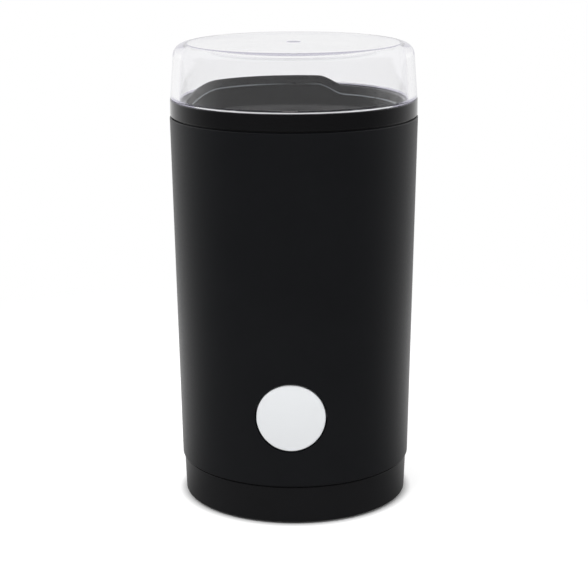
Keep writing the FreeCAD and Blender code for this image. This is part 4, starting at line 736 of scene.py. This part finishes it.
# %% The grinding bowl
BOWL_R = 37.4
SHEET = 0.6
BOWL_CORNER = 9.0
BOWL_LIP = 1.0
SEAL_R = 7.2
bowl_floor = bowl_low.z + SHEET
bowl_flat = BOWL_R - BOWL_CORNER
corner_z = bowl_floor + BOWL_CORNER
bowl = turned("bowl", [(SEAL_R, bowl_low.z), (bowl_flat, bowl_low.z)]
              + arc(bowl_flat, corner_z, BOWL_CORNER + SHEET, -90, 0, 12)
              + [(BOWL_R + SHEET, bowl_high.z - SHEET), (bowl_high.x, bowl_high.z - SHEET),
                 (bowl_high.x, bowl_high.z)]
              + arc(BOWL_R + BOWL_LIP, bowl_high.z - BOWL_LIP, BOWL_LIP, 90, 180, 6)
              + arc(bowl_flat, corner_z, BOWL_CORNER, 0, -90, 12) + [(SEAL_R, bowl_floor)])

# %% [markdown]
# The lid is a thick clear cap, injection moulded in one piece. Its wall, its rounded shoulder and the step at
# its foot are what bends the light, so inner and outer surface are both modelled. A small gate mark is sunk
# in its top.

# %% The clear lid
LID_R = lid_high.x
LID_Z0 = COLLAR_Z1 + 0.05
LID_Z1 = lid_high.z
SHOULDER_R = LID_R - 1.2
SHOULDER = 4.6
LID_WALL = 3.2
FOOT_JOG = 0.8
TOP_T = 2.4
SKIRT_R1 = GROOVE_R1 - 0.3
SKIRT_R0 = SKIRT_R1 - 1.2
SKIRT_BEVEL = 0.35
FOOT_BEVEL = 0.55
INNER_CORNER = 2.6
GATE_R = 2.8
GATE_DEPTH = 0.35
RING_R = 41.3
RING_STEP = 0.3
FLAT_ROWS = (8, 18, 30)
LID_SEGMENTS = 256


def lid_outline():
    """From the gate mark over the shoulder to the foot, and back inside to the middle of the roof."""
    rim_z = LID_Z1 - RING_STEP
    gate_z = LID_Z1 - GATE_DEPTH
    roof = LID_Z1 - TOP_T
    inner_r = SHOULDER_R - LID_WALL
    draft = (LID_R - SHOULDER_R) / (LID_Z1 - SHOULDER - LID_Z0)
    top = [(0, gate_z), (GATE_R - GATE_DEPTH, gate_z), (GATE_R, LID_Z1)] + [(r, LID_Z1) for r in FLAT_ROWS]
    ring = [(RING_R, LID_Z1), (RING_R + RING_STEP / 2, rim_z)]
    shoulder = arc(SHOULDER_R - SHOULDER, rim_z - SHOULDER, SHOULDER, 90, 0, 16)
    foot = [(LID_R, LID_Z0 + FOOT_BEVEL), (LID_R - FOOT_BEVEL, LID_Z0)]
    skirt = [(SKIRT_R1, LID_Z0), (SKIRT_R1, lid_low.z + SKIRT_BEVEL), (SKIRT_R1 - SKIRT_BEVEL, lid_low.z),
             (SKIRT_R0, lid_low.z), (SKIRT_R0, LID_Z0 + FOOT_JOG / 2),
             (LID_R - LID_WALL - draft * FOOT_JOG, LID_Z0 + FOOT_JOG)]
    inside = arc(inner_r - INNER_CORNER, roof - INNER_CORNER, INNER_CORNER, 0, 90, 10)
    under = [(r, roof) for r in reversed(FLAT_ROWS)] + [(0, roof)]
    return top + ring + shoulder + foot + skirt + inside + under


lid = turned("clear_lid", lid_outline(), segments=LID_SEGMENTS)

# %% [markdown]
# The button is a glossy cap that follows the housing's curve, so it bulges both ways. It is turned as a flat
# disc with a rounded rim, tipped to face the front, and its face is then moved out to the bulge.

# %% The push button
BUTTON_R = 13.15
BUTTON_EDGE = 0.7
BUTTON_WALL = 1.8
FACE_R = sleeve_r(BUTTON_Z) + 0.7
FACE_ROWS = (0, 1.2, 2.4, 3.6, 4.8, 6.0, 7.2, 8.4, 9.6, 10.8, 11.8)
FACE_ZONE = 1.0
BULGE_R = 90.0
SKIRT_ROW = 5.0
FLANGE_R = 14.85
FLANGE_Y0 = GUIDE_END_Y + 0.3
FLANGE_Y1 = FLANGE_Y0 + 1.6
STEM_R = 3.0
cavity_y = BUTTON_WALL - math.sqrt(sleeve_r(BUTTON_Z) ** 2 - BUTTON_R ** 2)


def button_outline():
    """Outline with the depth below the face as its height, so that the face is at nil."""
    flange_front, flange_back, cavity, stem_end = (
        -(y + FACE_R) for y in (FLANGE_Y0, FLANGE_Y1, cavity_y, button_high.y))
    inner_r = BUTTON_R - BUTTON_WALL
    return ([(r, 0) for r in FACE_ROWS] + arc(BUTTON_R - BUTTON_EDGE, -BUTTON_EDGE, BUTTON_EDGE, 90, 0, 6)
            + [(BUTTON_R, -SKIRT_ROW), (BUTTON_R, flange_front), (FLANGE_R, flange_front),
               (FLANGE_R, flange_back), (inner_r, flange_back), (inner_r, cavity), (STEM_R, cavity),
               (STEM_R, stem_end), (0, stem_end)])


def face_y(x, z):
    """Depth of the button's face at a place in front of the axis."""
    up = z - BUTTON_Z
    r = FACE_R - (BULGE_R - math.sqrt(BULGE_R ** 2 - up ** 2))
    return -math.sqrt(r * r - x * x)


button = turned("button_cap", button_outline(), segments=96)
button.data.transform(Matrix.Translation((0, -FACE_R * MM, BUTTON_Z * MM))
                      @ Matrix.Rotation(math.pi / 2, 4, "X"))
for v in button.data.vertices:
    p = v.co / MM
    if p.y < FACE_ZONE - FACE_R:
        v.co.y += (face_y(p.x, p.z) + FACE_R) * MM
tidy(button)

# %% [markdown]
# Smooth shading averages the normals of the faces round a point. Beside a small rounded edge that tilts the
# shading of the large face next to it, and a clear wall would then bend light like a lens. The Weighted
# Normal modifier lets the large faces decide, so that flats shade flat.

# %% Even shading
PIECES = (sleeve, screw_bosses, base_cover, rubber_feet, collar, bowl, lid, button)
for piece in PIECES:
    deselect()
    bpy.context.view_layer.objects.active = piece
    modifier = piece.modifiers.new("even shading", "WEIGHTED_NORMAL")
    modifier.keep_sharp = True
    bpy.ops.object.modifier_apply(modifier=modifier.name)
print("evenly shaded pieces:", len(PIECES))

# %% [markdown]
# Each new piece rides on the body of the part that it stands for and hides that part; its finish's slot is
# listed beside it.

# %% What each piece stands for
for piece, body, node, slot in (
        (sleeve, "housing", "main_housing", "black_plastic"),
        (screw_bosses, "housing", "main_housing", "black_plastic"),
        (base_cover, "housing", "base_cover", "base_plastic"),
        (rubber_feet, "housing", "rubber_feet", "black_rubber"),
        (collar, "housing", "bowl_collar", "collar_plastic"),
        (bowl, "housing", "grinding_bowl", "stainless"),
        (lid, "lid", "lid", "clear_plastic"),
        (button, "button", "push_button", "white_plastic")):
    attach(piece, body)
    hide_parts(node)
    print(piece.name, "rides on", body, "in place of", node)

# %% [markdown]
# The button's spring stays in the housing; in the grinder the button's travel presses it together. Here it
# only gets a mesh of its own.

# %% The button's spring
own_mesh(frame["nodes"]["button_spring"])

# %% [markdown]
# Every finish is a small tree of shader nodes. Colours are written as on a web page and turned into the
# linear light that Blender counts in. One helper gives a node its inputs, and one adds a node and hands back
# the output that the next node needs.

# %% Helpers for the finishes
def hex_colour(code):
    """Linear colour with alpha from an sRGB hex value."""
    parts = [int(code[i:i + 2], 16) / 255 for i in (1, 3, 5)]
    linear = [c / 12.92 if c <= 0.04045 else ((c + 0.055) / 1.055) ** 2.4 for c in parts]
    return (*linear, 1.0)


def feed(node, inputs):
    """Sets a node's inputs. Each is a value or another node's output."""
    for name, value in inputs.items():
        if isinstance(value, bpy.types.NodeSocket):
            node.id_data.links.new(value, node.inputs[name])
        else:
            node.inputs[name].default_value = value


def add(material, kind, inputs, output=0, **settings):
    """Adds a shader node with its settings and inputs, and returns one of its outputs."""
    made = material.node_tree.nodes.new("ShaderNode" + kind)
    for name, value in settings.items():
        setattr(made, name, value)
    feed(made, inputs)
    return made.outputs[output]


def new_material(name):
    """Empty node material, with its shader and the place that patterns are read from."""
    material = bpy.data.materials.new(name)
    material.use_nodes = True
    place = add(material, "TexCoord", {}, "Object")
    return material, material.node_tree.nodes["Principled BSDF"], place


def surface(material, shader, shades, broad, rough, fine, relief_mm):
    """Two shades by a broad pattern, and a sheen between two limits and a relief by a fine one."""
    feed(shader, {
        "Base Color": add(material, "MixRGB",
                          {"Fac": broad, "Color1": hex_colour(shades[0]), "Color2": hex_colour(shades[1])}),
        "Roughness": add(material, "MapRange",
                         {"Value": fine, "To Min": rough[0], "To Max": rough[1]},
                         interpolation_type="SMOOTHSTEP"),
        "Normal": add(material, "Bump", {"Height": fine, "Distance": relief_mm * MM, "Strength": 1.0})})


print("mid grey in linear light:", round(hex_colour("#808080")[0], 3))

# %% [markdown]
# Moulded plastics differ by the tool they come from. A spark-eroded tool gives the housing its fine satin
# texture, a polished one gives the collar and the button their gloss. One function covers them: a colour that
# wavers a little, a sheen that wavers with it and a relief of fine grains.

# %% Moulded plastics
BROAD_MM = 18.0


def moulded(name, dark, light, rough, grain_mm, relief_mm, specular=0.5):
    """Moulded plastic: two shades, two roughness limits, grain size and relief height."""
    material, shader, place = new_material(name)
    fine = add(material, "TexNoise", {"Vector": place, "Scale": 1 / (grain_mm * MM), "Detail": 2.0}, "Fac")
    broad = add(material, "TexNoise", {"Vector": place, "Scale": 1 / (BROAD_MM * MM), "Detail": 2.0}, "Fac")
    surface(material, shader, (dark, light), broad, rough, fine, relief_mm)
    feed(shader, {"Specular IOR Level": specular})
    return material


# ABS from a spark-eroded tool: a deep black that stays dark in front and turns silky grey at its edges
satin_abs = moulded("satin_black_abs", "#111215", "#151619", (0.34, 0.44), 0.7, 0.010, 0.3)
# the same ABS from a finer tool, a shade lighter under the body's seam
base_abs = moulded("base_black_abs", "#101012", "#141417", (0.30, 0.40), 0.7, 0.008, 0.35)
# ABS from a polished tool: mirror-like, with a slight waviness, and a painted highlight along the guard's
# bend
gloss_abs = moulded("gloss_black_abs", "#0a0a0b", "#0e0e10", (0.06, 0.12), 6.0, 0.004, 0.5)
gloss_shader = gloss_abs.node_tree.nodes["Principled BSDF"]
even_colour = gloss_shader.inputs["Base Color"].links[0].from_socket
# painted highlight: where the attribute marks the bend, the black turns light grey
painted_highlight = add(gloss_abs, "Attribute", {}, "Fac", attribute_name="painted_highlight")
feed(gloss_shader, {"Base Color": add(gloss_abs, "MixRGB", {
    "Fac": painted_highlight, "Color1": even_colour, "Color2": hex_colour("#7d8285")})})
# white ABS from a polished tool: bright, with a tight highlight
white_abs = moulded("gloss_white_abs", "#eceef0", "#f0f2f4", (0.12, 0.18), 5.0, 0.004, 0.5)
# glass-filled nylon inside the body: dull and slightly mottled
inner_nylon = moulded("grey_nylon", "#26262a", "#34343a", (0.5, 0.65), 0.9, 0.02)
# uncoloured polyamide of the switch bracket and the lock rod: milky
natural_nylon = moulded("natural_nylon", "#cfc9bb", "#ddd8cc", (0.4, 0.5), 1.2, 0.01)
# pressed phenolic resin under the motor: brown and faintly speckled
phenolic = moulded("brown_phenolic", "#3a2418", "#523423", (0.45, 0.6), 0.8, 0.02)
# rubber of the feet and the cord's grommet: matt, with fine bloom
rubber = moulded("black_rubber", "#101011", "#1a1a1b", (0.65, 0.8), 0.5, 0.02, 0.3)
# silicone of the bowl's gasket: soft grey
silicone = moulded("grey_silicone", "#7d7e80", "#8e8f92", (0.5, 0.6), 0.8, 0.01)
# pressed carbon of the brushes: dark with a faint metallic speckle
carbon = moulded("pressed_carbon", "#18181a", "#2a2a2c", (0.4, 0.6), 0.4, 0.01)
print("moulded finishes so far:", len(bpy.data.materials))

# %% [markdown]
# Metals keep the default index and take their look from their colour and the direction of their marks. Turned
# and drawn parts have fine marks round the axis, so their pattern is drawn out sideways and pressed together
# in height.

# %% Metals
def metal(name, dark, light, rough, mark_mm, relief_mm, stretch=(1.0, 1.0, 1.0)):
    """Bare metal: two shades, two roughness limits, the size of its marks and how they are drawn out."""
    material, shader, place = new_material(name)
    scaled = add(material, "Mapping", {"Vector": place, "Scale": stretch})
    marks = add(material, "TexNoise", {"Vector": scaled, "Scale": 1 / (mark_mm * MM), "Detail": 4.0}, "Fac")
    surface(material, shader, (dark, light), marks, rough, marks, relief_mm)
    feed(shader, {"Metallic": 1.0})
    return material


# deep-drawn stainless sheet, brushed round the bowl
stainless = metal("brushed_stainless", "#9c9da0", "#b6b7ba", (0.16, 0.3), 1.2, 0.002, (0.12, 0.12, 4.0))
# stamped and ground stainless of the blade
blade_steel = metal("ground_steel", "#b2b4b8", "#cfd0d3", (0.18, 0.32), 0.8, 0.004, (0.3, 3.0, 1.0))
# zinc-plated sheet and screws, slightly cloudy
zinc = metal("zinc_plate", "#a9aaa6", "#c2c3be", (0.3, 0.45), 1.5, 0.004)
# ground shaft
shaft_steel = metal("ground_shaft", "#9ea0a4", "#babcc0", (0.15, 0.25), 0.8, 0.002, (1.0, 1.0, 5.0))
# stacked iron sheets: dark, with a line for each sheet of half a millimetre
laminations = metal("iron_sheets", "#4a4c50", "#6a6c70", (0.4, 0.6), 0.5, 0.03, (0.02, 0.02, 1.0))
# sintered bronze of the bearings: porous
bronze = metal("sintered_bronze", "#8d6a3f", "#a9824f", (0.4, 0.6), 0.3, 0.02)
# bare copper of the commutator and the contacts
copper = metal("bare_copper", "#a8623e", "#c47a50", (0.25, 0.4), 0.8, 0.004, (1.0, 1.0, 4.0))
# bright spring wire
spring_wire = metal("spring_wire", "#8c8e92", "#b0b2b6", (0.2, 0.3), 0.6, 0.002)
print("finishes with the metals:", len(bpy.data.materials))

# %% [markdown]
# The motor's windings are enamelled copper wire laid side by side, so their relief is a row of fine rounds as
# wide as the wire. The field coils are bound with tape over the wire.

# %% Windings
BANDS_PER_UNIT = 0.314
WIRE_METAL = 0.6


def wound(name, dark, light, wire_mm, rough):
    """Enamelled wire: rounds a wire's width apart."""
    material, shader, place = new_material(name)
    scale = BANDS_PER_UNIT / (wire_mm * MM)
    rounds = add(material, "TexWave",
                 {"Vector": place, "Scale": scale, "Distortion": 1.5, "Detail": 1.0}, "Fac",
                 bands_direction="Z")
    surface(material, shader, (dark, light), rounds, rough, rounds, wire_mm / 3)
    feed(shader, {"Metallic": WIRE_METAL})
    return material


# enamelled copper wire of the armature: brown-red rounds half a millimetre wide
enamel_wire = wound("enamelled_wire", "#6b2c14", "#a04a22", 0.5, (0.3, 0.45))
# woven tape over the field coils: broad, dull, ochre turns
coil_tape = wound("taped_coil", "#7a4a20", "#a06a34", 2.5, (0.45, 0.6))
print("finishes with the windings:", len(bpy.data.materials))

# %% [markdown]
# The lid is clear styrene plastic. Light from the lamps has to pass it to reach the collar, which glass
# shaders don't let through, so lamp rays see a nearly clear surface instead. Its gloss wavers very slightly,
# as moulded plastic's does. A ray that is still inside the wall after several bounces would end black, so it
# ends in a painted glow, a soft grey emission like the haze that such light has in real plastic.

# %% Clear plastic
TRAPPED_AFTER = 6
STYRENE_IOR = 1.56
RIPPLE_MM = 25.0
# moulded styrene: clear as glass, with a faint cool painted glow where light is caught in its wall
clear, clear_shader, clear_place = new_material("clear_styrene")
ripple = add(clear, "TexNoise",
             {"Vector": clear_place, "Scale": 1 / (RIPPLE_MM * MM), "Detail": 2.0}, "Fac")
surface(clear, clear_shader, ("#fdfdfe", "#fdfdfe"), ripple, (0.0, 0.02), ripple, 0.02)
feed(clear_shader, {"Transmission Weight": 1.0, "IOR": STYRENE_IOR})
clear_rays = add(clear, "LightPath", {}).node.outputs
trapped = add(clear, "Math", {0: clear_rays["Ray Depth"], 1: TRAPPED_AFTER - 0.5}, operation="GREATER_THAN")
# painted glow: a grey emission for rays that are still inside the wall
trapped_glow = add(clear, "Emission", {"Color": hex_colour("#c4c2cf"), "Strength": 1.0})
open_or_trapped = add(clear, "MixShader", {0: trapped, 1: clear_shader.outputs["BSDF"], 2: trapped_glow})
for_lamps = add(clear, "BsdfTransparent", {"Color": hex_colour("#eff0f2")})
either = add(clear, "MixShader", {0: clear_rays["Is Shadow Ray"], 1: open_or_trapped, 2: for_lamps})
feed(clear.node_tree.nodes["Material Output"], {"Surface": either})
print("the lid bends light with an index of", STYRENE_IOR)

# %% [markdown]
# Each new piece takes its finish, and every CAD part that still shows takes the finish of its kind.

# %% Which part has which finish
PIECE_FINISHES = (satin_abs, satin_abs, base_abs, rubber, gloss_abs, stainless, clear, white_abs)
for piece, material in zip(PIECES, PIECE_FINISHES):
    piece.data.materials.clear()
    piece.data.materials.append(material)
    print(piece.name, "is", material.name)

# %% [markdown]
# The hidden parts keep their CAD meshes. Each one names a slot in the record, and the slot says of what it is
# made.

# %% Finishes of the CAD parts
FINISHES = {
    "black_plastic": satin_abs, "base_plastic": base_abs, "collar_plastic": gloss_abs, "clear_plastic": clear,
    "white_plastic": white_abs, "inner_plastic": inner_nylon, "natural_plastic": natural_nylon,
    "bakelite": phenolic, "black_rubber": rubber, "grey_silicone": silicone, "stainless": stainless,
    "blade_steel": blade_steel, "plated_steel": zinc, "shaft_steel": shaft_steel, "lamination": laminations,
    "bronze": bronze, "copper": copper, "winding": enamel_wire, "taped_coil": coil_tape, "carbon": carbon,
    "spring_steel": spring_wire}
for part in frame["record"]["subparts"]:
    for slot in frame["nodes"][part["node"]].material_slots:
        slot.material = FINISHES[part["material_slot"]]
print("finishes:", len(FINISHES))

# %% [markdown]
# The grinder stands on a plain white table in front of a white wall. The table is a little below the feet, so
# that they don't flicker with it.

# %% Table
TABLE_SIZE = 6.0
TABLE_Z = -0.0002
deselect()
bpy.ops.mesh.primitive_plane_add(size=TABLE_SIZE, location=(0, 0, TABLE_Z))
table = bpy.context.object
table.name = "table"
bpy.ops.object.mode_set(mode="EDIT")
bpy.ops.mesh.subdivide(number_cuts=3)
bpy.ops.object.mode_set(mode="OBJECT")
print("table of", TABLE_SIZE, "metres")

# %% [markdown]
# In a photo studio the white wall shines from behind and the room in front is dark. Glossy black plastic
# shows that: bright at its sides and dark in the middle. Light that a glossy surface mirrors therefore sees a
# level that rises towards the back. Light that only bounced inside the lid's near wall still sees white. The
# helper below tells the two apart, for the table and for the room.

# %% Which light was mirrored
NEAR_WALL_CROSSINGS = 3


def mirror_share(material, light_path):
    """One for light that was mirrored on its way, save where it only bounced inside the lid's near wall."""
    bounced = add(material, "Math", {0: light_path["Glossy Depth"], 1: 0.5}, operation="GREATER_THAN")
    few = add(material, "Math", {0: light_path["Transmission Depth"], 1: NEAR_WALL_CROSSINGS + 0.5},
              operation="LESS_THAN")
    inside = add(material, "Math", {0: few, 1: light_path["Is Transmission Ray"]}, operation="MULTIPLY")
    passed = add(material, "Math", {0: 1.0, 1: inside}, operation="SUBTRACT")
    return add(material, "Math", {0: bounced, 1: passed}, operation="MULTIPLY")


print("crossings of the near wall:", NEAR_WALL_CROSSINGS)

# %% [markdown]
# The table is white paper that takes the grinder's shadow. Close to the grinder it gets a little light of its
# own, as paper lit from all sides has, and further away it turns to plain white. What is mirrored in it
# depends on the direction, through four gains: near, far, left and right.

# %% Level of the mirrored table
GLOSS_FRONT = 0.12
GLOSS_RISE = 0.83
GLOSS_POWER = 2.0
GLOSS_FROM = -0.5
GLOSS_TO = 0.9
NEAR_GAIN = 1.5
FAR_GAIN = 0.9
NEAR_M = 0.1
FAR_M = 0.5
LEFT_GAIN = 1.14
RIGHT_GAIN = 0.88
paper, paper_shader, paper_place = new_material("white_table")
away = add(paper, "VectorMath", {0: paper_place}, "Value", operation="LENGTH")
facing = add(paper, "VectorMath", {0: paper_place}, operation="NORMALIZE")
directions = add(paper, "SeparateXYZ", {"Vector": facing}).node.outputs
turn = add(paper, "MapRange", {"Value": directions["Y"], "From Min": GLOSS_FROM, "From Max": GLOSS_TO})
curve = add(paper, "Math", {0: turn, 1: GLOSS_POWER}, operation="POWER")
rise = add(paper, "Math", {0: curve, 1: GLOSS_RISE}, operation="MULTIPLY")
turned_level = add(paper, "Math", {0: GLOSS_FRONT, 1: rise}, operation="ADD")
along = add(paper, "MapRange",
            {"Value": away, "From Min": NEAR_M, "From Max": FAR_M, "To Min": NEAR_GAIN, "To Max": FAR_GAIN},
            interpolation_type="SMOOTHSTEP")
sideways = add(paper, "MapRange",
               {"Value": directions["X"], "From Min": -1.0, "From Max": 1.0, "To Min": LEFT_GAIN,
                "To Max": RIGHT_GAIN}, interpolation_type="SMOOTHSTEP")
gain = add(paper, "Math", {0: along, 1: sideways}, operation="MULTIPLY")
mirrored_level = add(paper, "Math", {0: turned_level, 1: gain}, operation="MULTIPLY")
mirrored = add(paper, "Emission", {"Color": (1, 1, 1, 1), "Strength": mirrored_level})
print("mirrored table from", GLOSS_FRONT, "to", round(GLOSS_FRONT + GLOSS_RISE, 2))

# %% [markdown]
# The camera sees the paper with a painted glow added, which is nil under the grinder's base and leaves a dark
# contact shadow there, or plain white further away. Light from plastic and metal sees the paper itself, light
# through the lid sees white, and mirrored light sees the level above.

# %% The table's paper
TABLE_LIFT = 0.52
UNDER_R = 0.0435
CLEAR_R = 0.048
SHADOW_REACH = 0.10
WHITE_FROM = 0.35
PAPER_MM = 60.0
# matt white paper: even, with a faint cloudiness and no gloss
clouds = add(paper, "TexNoise", {"Vector": paper_place, "Scale": 1 / (PAPER_MM * MM), "Detail": 2.0}, "Fac")
feed(paper_shader, {
    "Base Color": add(paper, "MixRGB",
                      {"Fac": clouds, "Color1": hex_colour("#ececec"), "Color2": hex_colour("#f2f2f2")}),
    "Roughness": 0.9,
    "Specular IOR Level": 0.0})
# painted light: the glow is nil under the base and full just beyond its rim, which paints the contact
# shadow's edge
lift_level = add(paper, "MapRange",
                 {"Value": away, "From Min": UNDER_R, "From Max": CLEAR_R, "To Max": TABLE_LIFT},
                 interpolation_type="SMOOTHSTEP")
lift = add(paper, "Emission", {"Color": (1, 1, 1, 1), "Strength": lift_level})
lifted = add(paper, "AddShader", {0: paper_shader.outputs["BSDF"], 1: lift})
white = add(paper, "Emission", {"Color": (1, 1, 1, 1), "Strength": 1.0})
far_share = add(paper, "MapRange",
                {"Value": away, "From Min": SHADOW_REACH, "From Max": WHITE_FROM},
                interpolation_type="SMOOTHSTEP")
rays = add(paper, "LightPath", {}).node.outputs
seen = add(paper, "MixShader", {0: far_share, 1: lifted, 2: white})
seen = add(paper, "MixShader", {0: rays["Is Camera Ray"], 1: paper_shader.outputs["BSDF"], 2: seen})
seen = add(paper, "MixShader", {0: rays["Is Transmission Ray"], 1: seen, 2: white})
seen = add(paper, "MixShader", {0: mirror_share(paper, rays), 1: seen, 2: mirrored})
feed(paper.node_tree.nodes["Material Output"], {"Surface": seen})
table.data.materials.append(paper)
print("table is lifted by", TABLE_LIFT, "and white from", WHITE_FROM, "metres")

# %% [markdown]
# The room's light comes from all sides at an even level. To the camera and through the lid the room is plain
# white. A mirroring surface sees it darker in front than behind, as it sees the table.

# %% World
SKY_LIGHT = 0.55
SKY_GLOSS_FRONT = 0.12
SKY_GLOSS_BACK = 0.9
SKY_TURN = 0.5
world = bpy.data.worlds.new("white_room")
bpy.context.scene.world = world
world.use_nodes = True
way = add(world, "TexCoord", {}, "Generated")
across = add(world, "SeparateXYZ", {"Vector": way}, "Y")
level = add(world, "MapRange",
            {"Value": across, "From Min": -SKY_TURN, "From Max": SKY_TURN, "To Min": SKY_GLOSS_FRONT,
             "To Max": SKY_GLOSS_BACK}, interpolation_type="SMOOTHSTEP")
sky_rays = add(world, "LightPath", {}).node.outputs
sky_mirrored = mirror_share(world, sky_rays)
plain = add(world, "Mix", {"Factor": sky_mirrored, "A": SKY_LIGHT, "B": level})
sky_direct = add(world, "Math", {0: sky_rays["Is Transmission Ray"], 1: sky_mirrored}, operation="SUBTRACT")
shown = add(world, "Math", {0: sky_rays["Is Camera Ray"], 1: sky_direct}, operation="MAXIMUM")
strength = add(world, "Mix", {"Factor": shown, "A": plain, "B": 1.0})
feed(world.node_tree.nodes["Background"], {"Color": (1, 1, 1, 1), "Strength": strength})
print("room's light:", SKY_LIGHT)

# %% [markdown]
# Three square lamps shape the grinder: a key lamp from the front left, a weaker fill from the right and one
# from above. They stay out of mirrors and of the lid, where their square outline would show.

# %% Lamps
LAMPS = (("key", (-0.7, -0.9, 1.3), 0.8, 9.5), ("fill", (0.9, -0.8, 0.8), 1.0, 4.0),
         ("top", (0.0, 0.2, 1.5), 1.2, 3.5))
MIDDLE = Vector((0, 0, 0.09))
for name, place, size, watts in LAMPS:
    light = bpy.data.lights.new(name, "AREA")
    light.energy = watts
    light.size = size
    lamp = bpy.data.objects.new(name, light)
    lamp.location = place
    lamp.rotation_euler = (MIDDLE - Vector(place)).to_track_quat("-Z", "Y").to_euler()
    lamp.visible_glossy = False
    lamp.visible_transmission = False
    bpy.context.scene.collection.objects.link(lamp)
    print(name, "lamp:", watts, "W")

# %% [markdown]
# The camera's place, tilt and focal length were fitted to the ellipses of the real grinder's seams. A long
# lens from two thirds of a metre looks down on it a little.

# %% Camera
IMAGE_PX = 588
FOCAL_PX = 1682.0
AXIS_PX = 294.6
SENSOR_MM = 36.0
TILT = math.radians(14.27)
ROLL = math.radians(-0.23)
SIDE = math.radians(2.0)
DISTANCE = 0.650
HEIGHT = 0.2453
camera_data = bpy.data.cameras.new("camera")
camera_data.lens = FOCAL_PX / IMAGE_PX * SENSOR_MM
camera_data.sensor_width = SENSOR_MM
camera_data.shift_x = -(AXIS_PX - IMAGE_PX / 2) / IMAGE_PX
camera = bpy.data.objects.new("camera", camera_data)
spot = Vector((DISTANCE * math.sin(SIDE), -DISTANCE * math.cos(SIDE), HEIGHT))
about = Matrix.Rotation(SIDE, 4, "Z")
tilted = Matrix.Rotation(math.pi / 2 - TILT, 4, "X")
camera.matrix_world = Matrix.Translation(spot) @ about @ tilted @ Matrix.Rotation(ROLL, 4, "Z")
bpy.context.scene.collection.objects.link(camera)
bpy.context.scene.camera = camera
print("lens of", round(camera_data.lens, 1), "mm")

# %% [markdown]
# Standard shows each colour as it is written, without the film look that is Blender's default.

# %% Colours as they are written
bpy.context.scene.view_settings.view_transform = "Standard"
print("view transform:", bpy.context.scene.view_settings.view_transform)
